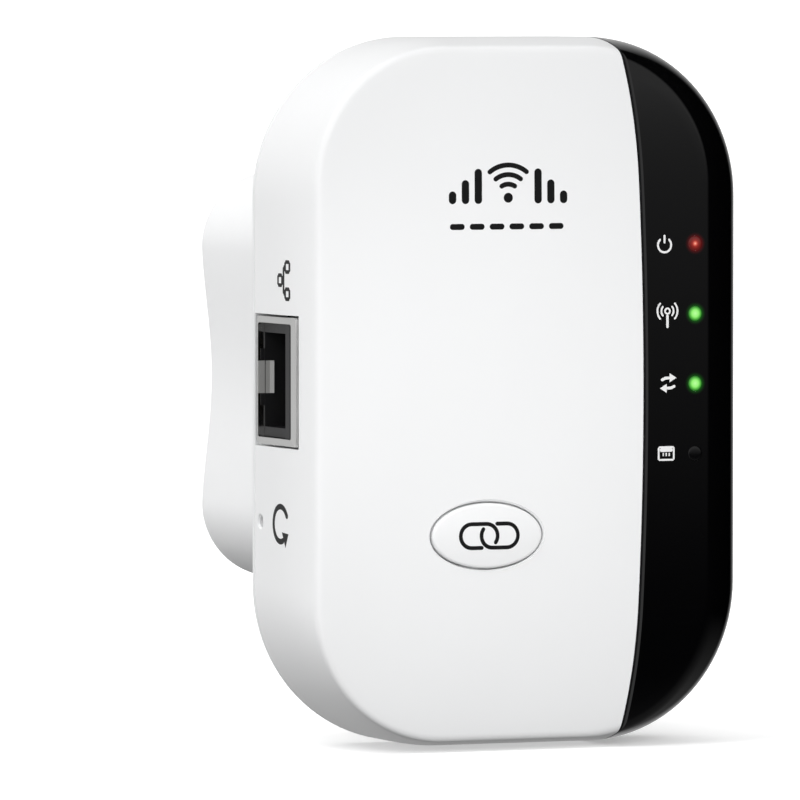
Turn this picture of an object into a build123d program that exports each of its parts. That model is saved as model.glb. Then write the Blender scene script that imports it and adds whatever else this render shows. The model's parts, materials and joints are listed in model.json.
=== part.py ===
from build123d import *
import math
import os

os.makedirs("parts", exist_ok=True)

# Plug-in wireless range extender, in millimetres.
# X runs to the right as seen from the room, Y runs into the wall, Z is up.
# The origin is the centre of the plug face, midway between the two plug pins.
# Every "depth" is measured from the plug face towards the room, so it is -Y.
# Names ending in _z are heights above the middle of the main body. The plug housing, its screws,
# the power board and what stands on it are placed from the middle of the plug instead.

# Main body
body_width = 62.4
body_height = 89.5
body_depth = 20.0
body_drop = 1.0             # the body's middle hangs this far below the plug's middle
rear_corner = 0.228 * body_height
corner_loss = 3.0           # the corner radius at the front face is smaller by this
shoulder_run = 12.0         # depth over which the sides curve in to the front face
rake_left = 1.0             # how far each side comes in at the front face
rake_right = 7.3
rake_ends = 1.2
wall = 1.8
cover_flange = 1.2          # edge of the rear cover that shows behind the front cover
cover_plate = 1.6
edge_bevel = 0.7

# Dark lens panel on the right
lens_wall = 1.4
lens_gap = 0.1
ledge_wall = 1.4
seam_x = 14.25              # where the seam crosses the middle of the front face
seam_radius = 583.0         # bend of the seam's long middle part
seam_end_radius = 88.0      # tighter bend near its top and bottom
seam_bend_share = 0.6       # share of the half height at which the tighter bend begins
seam_end_turn = 25.0        # angle of the tighter bend, enough to pass the body's ends

# Plug housing behind the body
plug_depth = 28.0
plug_width = 54.6
plug_height = 52.5
plug_corner = 10.0
plug_wall = 2.2
plug_face = 2.5
waist = 1.4
waist_length = 34.0
window_margin = 0.1         # plate left beyond each housing post, round the rear cover's window

# Plug pins, the 19 mm two-pole pattern with half-sleeved round pins
pin_spacing = 19.0
pin_reach = 19.0
pin_radius = 2.0
sleeve_radius = 1.8
core_radius = 1.5
sleeve_reach = 10.0
pin_flange_radius = 3.2
pin_flange = 1.2
pin_tail_radius = 1.2
pin_end_round = 1.2
seat_gap = 0.02             # clearance of a piece seated in its hole

# Network jack in the left wall
jack_width = 16.2
jack_tall = 12.8
jack_length = 18.0
jack_z = 1.6
jack_forward = 0.9          # its rear side stands this far in front of the cover's edge
jack_metal = 0.3
jack_gap = 0.15
port_width = 11.9
port_tall = 6.7
port_deep = 13.0
port_side = 2.2             # plastic between the port and the front side of the jack
latch_width = 7.4
latch_tall = 2.3
tongue_width = 4.1
tongue_deep = 2.4
contact_count = 8
contact_pitch = 1.02
contact_wide = 0.46
contact_thick = 0.6
contact_back = 2.0          # how far the contacts stand back from the mouth

# Circuit boards
main_board_stand = 4.0      # from the rear of the body to the board
main_board_thick = 1.2
main_board_corner = 3.0
main_board_clear = 1.6      # clearance from the case walls
main_board_post_clear = 0.9
power_board_depth = 7.0
power_board_thick = 1.6
power_board_clear = 0.6     # clearance from the plug housing's walls
power_board_post_clear = 0.7
sheet_thick = 0.3
sheet_clear = 0.4

# Front push button and the switch behind it
button_x = -7.25
button_z = -17.75
button_half_width = 7.5
button_half_height = 4.1
button_gap = 0.15
button_proud = 0.4
button_crown = 0.5
button_flange = 0.8
button_flange_edge = 1.1
button_flange_gap = 0.1
button_stem_radius = 2.2
button_travel = 0.3
switch_size = 6.0
switch_tall = 3.5
plunger_radius = 1.7
plunger_proud = 1.0

# Recessed reset switch
reset_z = -16.3
reset_hole_radius = 0.75
reset_body_long = 4.0
reset_body_wide = 4.6
reset_body_tall = 1.6
reset_wall_gap = 1.3         # from the inside of the wall to the end of the key
reset_key_wide = 2.0
reset_key_tall = 0.9
reset_key_proud = 0.9
reset_travel = 0.25
slide_gap = 0.05

# Status lights
light_x = 21.5
light_top_share = 0.4156    # height of the top light, as a share of the body's half height
light_pitch = 8.85
light_radius = 0.9
light_shaft_radius = 1.25
light_flange_radius = 1.7
light_flange = 0.8
light_gap = 0.05
led_size = 1.6
led_tall = 0.8

# Parts on the power board
transformer_z = 8.0
transformer_width = 17.0
transformer_tall = 12.5
core_yoke = 1.8
core_side = 3.1
core_leg = 4.0
core_deep = 8.0
winding_long = 15.0
winding_side_gap = 0.2
bobbin_thick = 1.1
bobbin_edge = 1.0
input_capacitor_x = -17.0
input_capacitor_z = 2.0
input_capacitor_pitch = 9.5
input_capacitor_radius = 4.1
input_capacitor_tall = 13.0
output_capacitor_x = 15.5
output_capacitor_z = 10.0
output_capacitor_radius = 3.5
output_capacitor_tall = 11.0
choke_z = 1.0
choke_radius = 3.0
choke_tall = 7.5
rectifier_x = -7.0
rectifier_z = -13.0
rectifier_width = 6.4
rectifier_height = 4.8
rectifier_tall = 2.5
controller_x = 1.0
controller_z = -9.0
controller_width = 5.0
controller_height = 4.0
controller_tall = 1.7
fuse_z = -8.5
fuse_x = -16.0
fuse_long = 8.0
fuse_radius = 1.6
fuse_lift = 2.2
fuse_lead = 0.6
fuse_lead_span = 9.5

# Parts on the main board, placed from the middle of the body
part_gap = 0.3              # between neighbours that are set close together
magnetics_x = -19.0
magnetics_width = 12.0
magnetics_height = 7.0
magnetics_tall = 5.0
radio_x = -1.5
radio_z = 10.0
radio_size = 9.0
radio_tall = 0.9
can_width = 20.0
can_height = 16.0
can_tall = 2.6
can_metal = 0.3
flash_x = 4.0
flash_z = -3.5
flash_size = 5.2
flash_tall = 1.8
crystal_x = 13.5
crystal_z = 6.0
crystal_width = 3.2
crystal_height = 5.0
crystal_tall = 1.0
regulator_x = 15.0
regulator_z = -18.0
regulator_width = 3.5
regulator_height = 6.5
regulator_tall = 1.7
inductor_x = 5.0
inductor_z = -16.5
inductor_size = 6.0
inductor_tall = 3.0
antenna_left_x = -24.0
antenna_right_x = 3.0
antenna_long = 14.0
antenna_leg = 1.5
antenna_leg_pitch = 4.0
antenna_lift = 4.0
antenna_wide = 4.0
antenna_metal = 0.4

# Screws
case_screw_from_side = 11.2
case_screw_share = 0.362    # how far from the plug housing's edge to the body's end a case screw stands
housing_screw_from_side = 7.8
housing_screw_from_end = 6.8
post_radius = 2.6
post_root = 0.2             # how far a post or the ledge is sunk into the wall it grows from
housing_post_radius = 2.4
screw_radius = 1.2
screw_head_radius = 2.2
screw_head_tall = 1.2
screw_length = 10.0
board_screw_x = 9.0
board_screw_from_end = 4.5
antenna_from_end = 2.1

# Board link
link_count = 4
link_pitch = 2.54
link_x = 8.0
link_plug_z = -13.0
link_pin = 0.64
link_base = 2.5
link_hole_radius = 0.6

# Cooling slots in the rear cover
slot_count = 3
slot_pitch = 3.0
slot_long = 22.0
slot_wide = 1.5             # the innermost slot is level with the case screws

rear_depth = plug_depth
front_depth = rear_depth + body_depth
parting_depth = rear_depth + cover_flange
cover_inner_depth = rear_depth + cover_plate
main_board_depth = rear_depth + main_board_stand
shoulder_depth = front_depth - shoulder_run
main_board_front = main_board_depth + main_board_thick
power_board_front = power_board_depth + power_board_thick
lens_offset = lens_wall + lens_gap
ledge_offset = lens_offset + ledge_wall
body_z = -body_drop
case_screw_x = body_width / 2 - case_screw_from_side
case_screw_z = plug_height / 2 + case_screw_share * (body_height - plug_height) / 2
housing_screw_x = plug_width / 2 - housing_screw_from_side
housing_screw_z = plug_height / 2 - housing_screw_from_end
main_board_left = body_width / 2 - wall - main_board_clear
main_board_right = body_width / 2 - ledge_offset - main_board_clear
main_board_half_height = case_screw_z - post_radius - main_board_post_clear
board_screw_z = main_board_half_height - board_screw_from_end
reset_depth = main_board_depth - reset_body_tall / 2
reset_key_start = -body_width / 2 + wall + reset_wall_gap
reset_body_x = reset_key_start + reset_key_proud


def at_depth(depth):
    """Plane facing the room at a depth, with X across and Z up."""
    return Plane.XZ.offset(depth)


def extrude_depth(outline, near, far):
    """Solid of an outline drawn in X and Z, from one depth to another."""
    return extrude(at_depth(near) * outline, amount=far - near)


def block(x_from, x_to, near, far, z_from, z_to):
    """Rectangular solid from its limits, with near and far as depths."""
    middle = Pos((x_from + x_to) / 2, -(near + far) / 2, (z_from + z_to) / 2)
    return middle * Box(x_to - x_from, far - near, z_to - z_from)


def pad(x, z, width, height, near, far):
    """Rectangular solid centred on x and z, between two depths."""
    return block(x - width / 2, x + width / 2, near, far, z - height / 2, z + height / 2)


def post(x, z, radius, near, far):
    """Round solid along the depth direction."""
    return extrude_depth(Pos(x, z) * Circle(radius), near, far)


def cross_rod(depth, z, radius, x_from, x_to):
    """Round solid along X."""
    return extrude(Plane.YZ.offset(x_from) * Pos(-depth, z) * Circle(radius), amount=x_to - x_from)


def corners(x, z):
    """The four places at plus and minus x and z."""
    return [(x, z), (-x, z), (-x, -z), (x, -z)]


def side_inset(rake, depth, offset):
    """How far a side stands in at a depth: a parabola past the shoulder, plus an offset square to it."""
    share = max(0.0, (depth - shoulder_depth) / shoulder_run)
    slope = 2 * rake * share / shoulder_run
    return rake * share**2 + offset * math.sqrt(1 + slope**2)


def body_section(depth, offset):
    """Rounded outline of the body at a depth, shrunk by an offset."""
    share = max(0.0, (depth - shoulder_depth) / shoulder_run)
    left = -body_width / 2 + side_inset(rake_left, depth, offset)
    right = body_width / 2 - side_inset(rake_right, depth, offset)
    half = body_height / 2 - side_inset(rake_ends, depth, offset)
    corner = rear_corner - corner_loss * share**2 - offset
    outline = RectangleRounded(right - left, 2 * half, corner)
    return at_depth(depth) * Pos((left + right) / 2, body_z) * outline


def body_blank(offset=0.0, steps=4):
    """Solid body, shrunk by an offset, from the rear face to the front face."""
    front = front_depth - offset
    depths = [rear_depth]
    depths += [shoulder_depth + k * (front - shoulder_depth) / steps for k in range(steps + 1)]
    return loft([body_section(depth, offset) for depth in depths], ruled=True)


def seam_side(shift):
    """Everything to the right of the curved seam, moved right by a shift."""
    bend_z = seam_bend_share * body_height / 2
    bend_x = seam_x + shift - seam_radius + math.sqrt(seam_radius**2 - bend_z**2)
    middle = ThreePointArc((bend_x, -bend_z), (seam_x + shift, 0), (bend_x, bend_z))
    upper = JernArc(middle @ 1, middle % 1, seam_end_radius, seam_end_turn)
    lower = mirror(upper, Plane.XZ)
    top = (upper @ 1).Y
    far_side = Polyline(upper @ 1, (body_width, top), (body_width, -top), lower @ 1)
    outline = Pos(0, body_z) * make_face([middle, upper, lower, far_side])
    return extrude_depth(outline, rear_depth - 1, front_depth + 1)


def behind(depth):
    """Everything behind a depth, to cut the body off at the parting line."""
    return pad(0, body_z, 2 * body_width, 2 * body_height, rear_depth - 5, depth)


def light_places():
    """Height of each status light, from the top down."""
    return [body_z + light_top_share * body_height / 2 - k * light_pitch for k in range(4)]


def front_cover():
    """White tub: front face and side walls, stepped in under the lens panel."""
    tub = body_blank() - body_blank(wall)
    tub += (body_blank(wall - post_root) - body_blank(ledge_offset)) & seam_side(-ledge_wall)
    tub -= behind(parting_depth)
    root = front_depth - wall + post_root
    for x, z in corners(case_screw_x, case_screw_z):
        tub += post(x, body_z + z, post_radius, cover_inner_depth + slide_gap, root)
        hole_end = cover_inner_depth + screw_length + 1
        tub -= post(x, body_z + z, screw_radius + seat_gap, cover_inner_depth, hole_end)
    for x, z in board_screw_places():
        tub += post(x, z, post_radius, main_board_front, root)
        tub -= post(x, z, screw_radius + seat_gap, main_board_front, main_board_front + screw_length)
    tub -= (body_blank() - body_blank(lens_offset)) & seam_side(0)
    tub -= jack_notch()
    hole_end = -body_width / 2 + 2 * wall
    tub -= cross_rod(reset_depth, body_z + reset_z, reset_hole_radius, -body_width, hole_end)
    opening = Ellipse(button_half_width + button_gap, button_half_height + button_gap)
    tub -= extrude_depth(Pos(button_x, body_z + button_z) * opening, front_depth - 2 * wall, front_depth + 1)
    for z in light_places():
        tub -= post(light_x, z, light_radius + light_gap, front_depth - 2 * ledge_offset, front_depth)
    return tub


def jack_notch():
    """Opening in the left wall for the network jack, open towards the rear cover."""
    half = jack_width / 2 + jack_gap
    far = jack_near() + jack_tall + jack_gap
    z = body_z + jack_z
    return block(-body_width, -body_width / 2 + 2 * wall, rear_depth - 1, far, z - half, z + half)


def lens_panel():
    """Dark glossy panel: the right of the front face, wrapped round the right side."""
    skin = (body_blank() - body_blank(lens_wall)) & seam_side(lens_gap)
    skin -= behind(parting_depth)
    for z in light_places():
        skin -= post(light_x, z, light_radius + light_gap, front_depth - 2 * lens_wall, front_depth + 1)
    return skin


def rear_cover():
    """Rear plate of the body, with a lip inside the front cover and cooling slots."""
    edge = RectangleRounded(body_width, body_height, rear_corner)
    inner = RectangleRounded(
        body_width - 2 * edge_bevel, body_height - 2 * edge_bevel, rear_corner - edge_bevel
    )
    bevel_depth = rear_depth + edge_bevel
    plate = loft(
        [at_depth(rear_depth) * Pos(0, body_z) * inner, at_depth(bevel_depth) * Pos(0, body_z) * edge],
        ruled=True,
    )
    plate += extrude_depth(Pos(0, body_z) * edge, bevel_depth, parting_depth)
    fit = ledge_offset + lens_gap
    seat = RectangleRounded(body_width - 2 * fit, body_height - 2 * fit, rear_corner - fit)
    plate += extrude_depth(Pos(0, body_z) * seat, rear_depth + edge_bevel, cover_inner_depth)
    window_x = housing_screw_x - housing_post_radius - window_margin
    window_z = housing_screw_z - housing_post_radius - window_margin
    window = RectangleRounded(2 * window_x, 2 * window_z, 2.0)
    plate -= extrude_depth(window, rear_depth - 1, cover_inner_depth + 1)
    for x, z in corners(case_screw_x, case_screw_z):
        plate -= post(x, body_z + z, screw_radius + slide_gap, rear_depth - 1, cover_inner_depth + 1)
        plate -= countersink(x, body_z + z, slide_gap)
    for x, z in corners(housing_screw_x, housing_screw_z):
        plate -= post(x, z, screw_radius + slide_gap, rear_depth - 1, cover_inner_depth + 1)
    for side in (1, -1):
        for k in range(slot_count):
            z = body_z + side * (case_screw_z + k * slot_pitch)
            slot = Pos(0, z) * SlotOverall(slot_long, slot_wide)
            plate -= extrude_depth(slot, rear_depth - 1, cover_inner_depth + 1)
    return plate


def countersink(x, z, gap):
    """Cone of a countersunk screw head, flush with the rear cover."""
    wide = at_depth(rear_depth) * Pos(x, z) * Circle(screw_head_radius + gap)
    narrow = at_depth(rear_depth + screw_head_tall) * Pos(x, z) * Circle(screw_radius + gap)
    return loft([wide, narrow], ruled=True)


def plug_outline(shrink):
    """Outline of the plug housing: a rounded square, drawn in at the waist on both sides."""
    outline = RectangleRounded(plug_width - 2 * shrink, plug_height - 2 * shrink, plug_corner - shrink)
    bend = ((waist_length / 2) ** 2 + waist**2) / (2 * waist)
    for side in (1, -1):
        outline -= Pos(side * (plug_width / 2 - waist + bend - shrink), 0) * Circle(bend)
    return outline


def plug_housing():
    """Box that carries the plug pins and holds the power supply."""
    shell = extrude_depth(plug_outline(0), 0, plug_depth)
    shell -= extrude_depth(plug_outline(plug_wall), plug_face, plug_depth + 1)
    for x, z in corners(housing_screw_x, housing_screw_z):
        shell += post(x, z, housing_post_radius, plug_face - 0.5, plug_depth)
        hole_start = cover_inner_depth - screw_length - 1
        shell -= post(x, z, screw_radius + seat_gap, hole_start, plug_depth + 1)
    for side in (1, -1):
        rib = plug_height / 2 - plug_wall - 1.5
        shell += pad(0, side * rib, 12.0, 3.5, plug_face - 0.5, power_board_depth)
        shell -= post(side * pin_spacing / 2, 0, sleeve_radius + seat_gap, -1, plug_face + 1)
    return shell


def plug_pin(x):
    """One plug pin: bare rounded tip, thinner core in its sleeve, flange and tail inside."""
    tip = post(x, 0, pin_radius, -pin_reach, -sleeve_reach)
    tip = fillet(tip.edges().group_by(Axis.Y)[-1], pin_end_round)
    core = post(x, 0, core_radius, -sleeve_reach - 0.5, plug_face)
    flange = post(x, 0, pin_flange_radius, plug_face, plug_face + pin_flange)
    tail = post(x, 0, pin_tail_radius, plug_face, power_board_depth - 0.5)
    return tip + core + flange + tail


def pin_sleeves():
    """Insulating sleeves on the base of both pins."""
    pair = Part()
    for side in (1, -1):
        x = side * pin_spacing / 2
        sleeve = post(x, 0, sleeve_radius, -sleeve_reach, plug_face)
        pair += sleeve - post(x, 0, core_radius + seat_gap, -sleeve_reach, plug_face)
    return pair


def plug_contacts():
    """Strips that carry the mains from each pin to the power board."""
    pair = Part()
    for side in (1, -1):
        x = side * pin_spacing / 2
        near = plug_face + pin_flange + 0.3
        strip = pad(x, 3.0, 5.0, 10.0, near, near + 0.5)
        strip -= post(x, 0, pin_tail_radius + seat_gap, near - 1, near + 2)
        strip += pad(x, 7.75, 1.2, 0.5, near, power_board_front + 0.8)
        pair += strip
    return pair


def power_board():
    """Board of the power supply, with its corners cut away for the housing posts."""
    width = plug_width - 2 * (plug_wall + waist + power_board_clear)
    height = plug_height - 2 * (plug_wall + power_board_clear)
    board = pad(0, 0, width, height, power_board_depth, power_board_front)
    cut = 2 * (housing_post_radius + power_board_post_clear)
    for x, z in corners(housing_screw_x, housing_screw_z):
        board -= pad(x + math.copysign(cut, x), z + math.copysign(cut, z), 3 * cut, 3 * cut, 0, plug_depth)
    for side in (1, -1):
        board -= pad(side * pin_spacing / 2, 7.75, 1.4, 0.7, 0, plug_depth)
    for x in link_places():
        board -= post(x, link_plug_z, link_hole_radius, 0, plug_depth)
    return board


def link_places():
    """X of each pin of the link between the boards."""
    return [link_x + k * link_pitch for k in range(link_count)]


def link_pins():
    """Long square pins that join the two boards."""
    pins = Part()
    for x in link_places():
        pins += pad(x, link_plug_z, link_pin, link_pin, power_board_depth - 0.8, main_board_front + 0.8)
    return pins


def link_header():
    """Two plastic strips that hold the link pins, one on each board."""
    strip = Part()
    middle = link_x + (link_count - 1) * link_pitch / 2
    for near in (power_board_front, main_board_depth - link_base):
        strip += pad(middle, link_plug_z, link_count * link_pitch, link_pitch, near, near + link_base)
    for x in link_places():
        hole = link_pin + 2 * seat_gap
        strip -= pad(x, link_plug_z, hole, hole, 0, front_depth)
    return strip


def insulation_sheet():
    """Thin sheet between the mains side and the main board."""
    near = plug_depth - sheet_thick - slide_gap
    width = plug_width - 2 * (plug_wall + waist + sheet_clear)
    height = plug_height - 2 * (plug_wall + sheet_clear)
    sheet = extrude_depth(RectangleRounded(width, height, plug_corner - plug_wall), near, near + sheet_thick)
    for x, z in corners(housing_screw_x, housing_screw_z):
        sheet -= post(x, z, housing_post_radius + jack_gap, near - 1, plug_depth + 1)
    middle = link_x + (link_count - 1) * link_pitch / 2
    sheet -= pad(middle, link_plug_z, link_count * link_pitch, link_pitch, near - 1, plug_depth + 1)
    return sheet


def jack_near():
    """Depth of the jack's rear side."""
    return parting_depth + jack_forward


def jack_mouth_x():
    """X of the jack's open face, level with the left wall."""
    return -body_width / 2


def port_near():
    """Depth of the rear side of the port, where the plug's latch runs."""
    return jack_near() + jack_tall - port_side - port_tall


def jack_cavity(grow):
    """Hollow for the network plug, with the slot for its latch."""
    mouth = jack_mouth_x()
    half = port_width / 2 + grow
    near = port_near() - grow
    z = body_z + jack_z
    hollow = block(mouth - 1, mouth + port_deep, near, near + port_tall + 2 * grow, z - half, z + half)
    slot = latch_width / 2 + grow
    hollow += block(mouth - 1, mouth + port_deep, near - latch_tall, near + 1, z - slot, z + slot)
    return hollow


def lan_jack_body():
    """Dark plastic block of the jack, with the port and slots for the contacts."""
    inset = jack_metal + seat_gap
    half = jack_width / 2 - inset
    mouth = jack_mouth_x()
    near = jack_near() + inset
    far = jack_near() + jack_tall - inset
    z = body_z + jack_z
    core = block(mouth + inset, mouth + jack_length - inset, near, far, z - half, z + half)
    core -= jack_cavity(0)
    for contact_z in contact_places():
        core -= contact_wire(contact_z, seat_gap)
    return core


def lan_jack_shell():
    """Metal shield of the jack: four walls, a back, and a pierced face with a spring tongue."""
    mouth = jack_mouth_x()
    near = jack_near()
    half = jack_width / 2
    z = body_z + jack_z
    shell = block(mouth, mouth + jack_length, near, near + jack_tall, z - half, z + half)
    shell -= block(
        mouth + jack_metal, mouth + jack_length - jack_metal, near + jack_metal,
        near + jack_tall - jack_metal, z - half + jack_metal, z + half - jack_metal,
    )
    shell -= jack_cavity(jack_metal)
    tongue = tongue_width / 2
    lift = port_near() - latch_tall + slide_gap
    shell += block(mouth, mouth + jack_metal, near, lift + jack_metal, z - tongue, z + tongue)
    shell += block(mouth, mouth + tongue_deep, lift, lift + jack_metal, z - tongue, z + tongue)
    return shell


def contact_places():
    """Height of each contact wire of the port."""
    first = body_z + jack_z - (contact_count - 1) * contact_pitch / 2
    return [first + k * contact_pitch for k in range(contact_count)]


def contact_wire(z, gap):
    """One contact: a strip along the front side of the port."""
    wide = contact_wide / 2 + gap
    mouth = jack_mouth_x()
    far = port_near() + port_tall + gap
    near = far - contact_thick - 2 * gap
    return block(mouth + contact_back - gap, mouth + port_deep + 1, near, far, z - wide, z + wide)


def lan_contacts():
    """The eight sprung contacts of the port."""
    wires = Part()
    for z in contact_places():
        wires += contact_wire(z, 0)
    return wires


def board_screw_places():
    """Places of the two screws that hold the main board."""
    return [(-board_screw_x, body_z + board_screw_z), (board_screw_x, body_z - board_screw_z)]


def main_board():
    """Main circuit board, notched on the left for the jack."""
    width = main_board_left + main_board_right
    middle = (main_board_right - main_board_left) / 2
    outline = Pos(middle, body_z) * RectangleRounded(width, 2 * main_board_half_height, main_board_corner)
    board = extrude_depth(outline, main_board_depth, main_board_front)
    half = jack_width / 2 + jack_gap
    notch_end = jack_mouth_x() + jack_length + jack_gap
    z = body_z + jack_z
    board -= block(-body_width, notch_end, 0, front_depth, z - half, z + half)
    for x, screw_z in board_screw_places():
        board -= post(x, screw_z, screw_radius + slide_gap, 0, front_depth)
    for x in link_places():
        board -= post(x, link_plug_z, link_hole_radius, 0, front_depth)
    return board


def on_board(x, z, width, height, tall):
    """Flat component on the front of the main board, placed from the body's middle."""
    return pad(x, body_z + z, width, height, main_board_front, main_board_front + tall)


def shield_can(x, z):
    """Pressed metal lid over the radio chip."""
    can = on_board(x, z, can_width, can_height, can_tall)
    hollow_end = main_board_front + can_tall - can_metal
    return can - pad(x, body_z + z, can_width - 2 * can_metal, can_height - 2 * can_metal, 0, hollow_end)


def antenna(x):
    """Stamped antenna: a raised strip on two legs along the top of the main board."""
    z = body_z + main_board_half_height - antenna_from_end
    near = main_board_front
    foot = near + antenna_lift
    blade = block(x, x + antenna_long, foot, foot + antenna_wide, z, z + antenna_metal)
    for leg_x in (x, x + antenna_leg_pitch):
        blade += block(leg_x, leg_x + antenna_leg, near, foot + antenna_metal, z, z + antenna_metal)
    return blade


def pairing_button():
    """Oval push button: crowned cap, flange behind the front wall and a stem to its switch."""
    place = Pos(button_x, body_z + button_z)
    crown_start = front_depth + button_proud - button_crown
    flange_far = front_depth - wall - button_flange_gap
    cap = extrude_depth(place * Ellipse(button_half_width, button_half_height), flange_far - 0.2, crown_start)
    cap += loft(
        [
            at_depth(crown_start) * place * Ellipse(button_half_width, button_half_height),
            at_depth(crown_start + button_crown)
            * place
            * Ellipse(button_half_width - button_crown, button_half_height - button_crown),
        ],
        ruled=True,
    )
    flange = Ellipse(button_half_width + button_flange_edge, button_half_height + button_flange_edge)
    cap += extrude_depth(place * flange, flange_far - button_flange, flange_far)
    stem_end = main_board_front + switch_tall + plunger_proud
    cap += post(button_x, body_z + button_z, button_stem_radius, stem_end, flange_far)
    return cap


def pairing_switch_base():
    """Square push switch on the main board, behind the oval button."""
    base = on_board(button_x, button_z, switch_size, switch_size, switch_tall)
    well = main_board_front + switch_tall - button_travel - plunger_proud - slide_gap
    return base - post(button_x, body_z + button_z, plunger_radius + slide_gap, well, front_depth)


def pairing_switch_plunger():
    """Moving plunger of the push switch."""
    near = main_board_front + switch_tall - plunger_proud
    far = main_board_front + switch_tall + plunger_proud
    return post(button_x, body_z + button_z, plunger_radius, near, far)


def reset_switch_base():
    """Side-pressed switch on the rear of the main board."""
    near = main_board_depth - reset_body_tall
    half = reset_body_wide / 2
    z = body_z + reset_z
    base = block(reset_body_x, reset_body_x + reset_body_long, near, main_board_depth, z - half, z + half)
    key = reset_key_wide / 2 + slide_gap
    tall = reset_key_tall / 2 + slide_gap
    well = reset_body_x + reset_key_proud + reset_travel + slide_gap
    return base - block(
        reset_body_x - 1, well, reset_depth - tall, reset_depth + tall, z - key, z + key
    )


def reset_switch_plunger():
    """Moving key of the reset switch, behind the pinhole."""
    key = reset_key_wide / 2
    tall = reset_key_tall / 2
    z = body_z + reset_z
    end = reset_body_x + reset_key_proud
    return block(reset_key_start, end, reset_depth - tall, reset_depth + tall, z - key, z + key)


def led(z):
    """Small light on the main board."""
    return pad(light_x, z, led_size, led_size, main_board_front, main_board_front + led_tall)


def light_pipe(z):
    """Clear rod that brings one light to the face of the lens panel."""
    start = main_board_front + led_tall + jack_gap
    flange_far = front_depth - ledge_offset
    pipe = post(light_x, z, light_radius, flange_far - 0.2, front_depth)
    pipe += post(light_x, z, light_flange_radius, flange_far - light_flange, flange_far)
    return pipe + post(light_x, z, light_shaft_radius, start, flange_far)


def countersunk_screws():
    """Screws from the rear cover into the posts of the front cover."""
    screws = Part()
    for x, z in corners(case_screw_x, case_screw_z):
        shank_end = cover_inner_depth + screw_length
        shank = post(x, body_z + z, screw_radius, rear_depth + screw_head_tall, shank_end)
        head = countersink(x, body_z + z, 0)
        slot = pad(x, body_z + z, 2 * screw_radius, 0.5, rear_depth - 1, rear_depth + 0.5)
        slot += pad(x, body_z + z, 0.5, 2 * screw_radius, rear_depth - 1, rear_depth + 0.5)
        screws += shank + head - slot
    return screws


def pan_screw(x, z, seat, direction):
    """Pan-head screw seated at a depth, with its shank along plus or minus depth."""
    head_end = seat - direction * screw_head_tall
    head = post(x, z, screw_head_radius - 0.2, min(seat, head_end), max(seat, head_end))
    shank_end = seat + direction * (screw_length - 1)
    return head + post(x, z, screw_radius, min(seat, shank_end), max(seat, shank_end))


def housing_screws():
    """Screws from inside the rear cover into the plug housing."""
    screws = Part()
    for x, z in corners(housing_screw_x, housing_screw_z):
        screws += pan_screw(x, z, cover_inner_depth, -1)
    return screws


def board_screws():
    """Screws that hold the main board to the front cover."""
    screws = Part()
    for x, z in board_screw_places():
        screws += pan_screw(x, z, main_board_depth, 1)
    return screws


def standing_part(x, z, radius, tall):
    """Upright round component on the power board."""
    return post(x, z, radius, power_board_front, power_board_front + tall)


def flat_part(x, z, width, height, tall):
    """Flat component on the power board."""
    return pad(x, z, width, height, power_board_front, power_board_front + tall)


def transformer_near():
    """Depth of the rear side of the transformer's core, on its bobbin base."""
    return power_board_front + bobbin_thick + slide_gap


def transformer_core():
    """Ferrite core: a frame with a centre leg."""
    near = transformer_near()
    far = near + transformer_tall
    core = pad(0, transformer_z, transformer_width, core_deep, near, far)
    core -= pad(0, transformer_z, transformer_width - 2 * core_side, 2 * core_deep, near + core_yoke, far - core_yoke)
    return core + pad(0, transformer_z, core_leg, core_deep, near + core_yoke, far - core_yoke)


def transformer_winding():
    """Wound and taped coil on the centre leg."""
    near = transformer_near() + core_yoke + slide_gap
    far = transformer_near() + transformer_tall - core_yoke - slide_gap
    width = transformer_width - 2 * (core_side + winding_side_gap)
    coil = pad(0, transformer_z, width, winding_long, near, far)
    hole = 2 * slide_gap
    return coil - pad(0, transformer_z, core_leg + hole, core_deep + hole, near - 1, far + 1)


def transformer_bobbin():
    """Plastic base that carries the transformer on its board."""
    width = transformer_width - bobbin_edge
    return flat_part(0, transformer_z, width, winding_long + 2 * bobbin_edge, bobbin_thick)


def input_capacitors():
    """Two mains-side capacitors, one above the other."""
    pair = Part()
    for k in range(2):
        z = input_capacitor_z + k * input_capacitor_pitch
        pair += standing_part(input_capacitor_x, z, input_capacitor_radius, input_capacitor_tall)
    return pair


def fuse_resistor():
    """Fusible resistor lying across the power board on its two leads."""
    depth = power_board_front + fuse_lift
    half = fuse_long / 2
    body = cross_rod(depth, fuse_z, fuse_radius, fuse_x - half, fuse_x + half)
    ends = (fuse_x - fuse_lead_span / 2, fuse_x + fuse_lead_span / 2)
    for x in ends:
        body += pad(x, fuse_z, fuse_lead, fuse_lead, power_board_front, depth + fuse_lead / 2)
    return body + cross_rod(depth, fuse_z, fuse_lead / 2, *ends)


def lan_magnetics():
    """Isolating transformer of the network port, just above the jack."""
    z = jack_z + jack_width / 2 + part_gap + magnetics_height / 2
    return on_board(magnetics_x, z, magnetics_width, magnetics_height, magnetics_tall)


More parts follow.
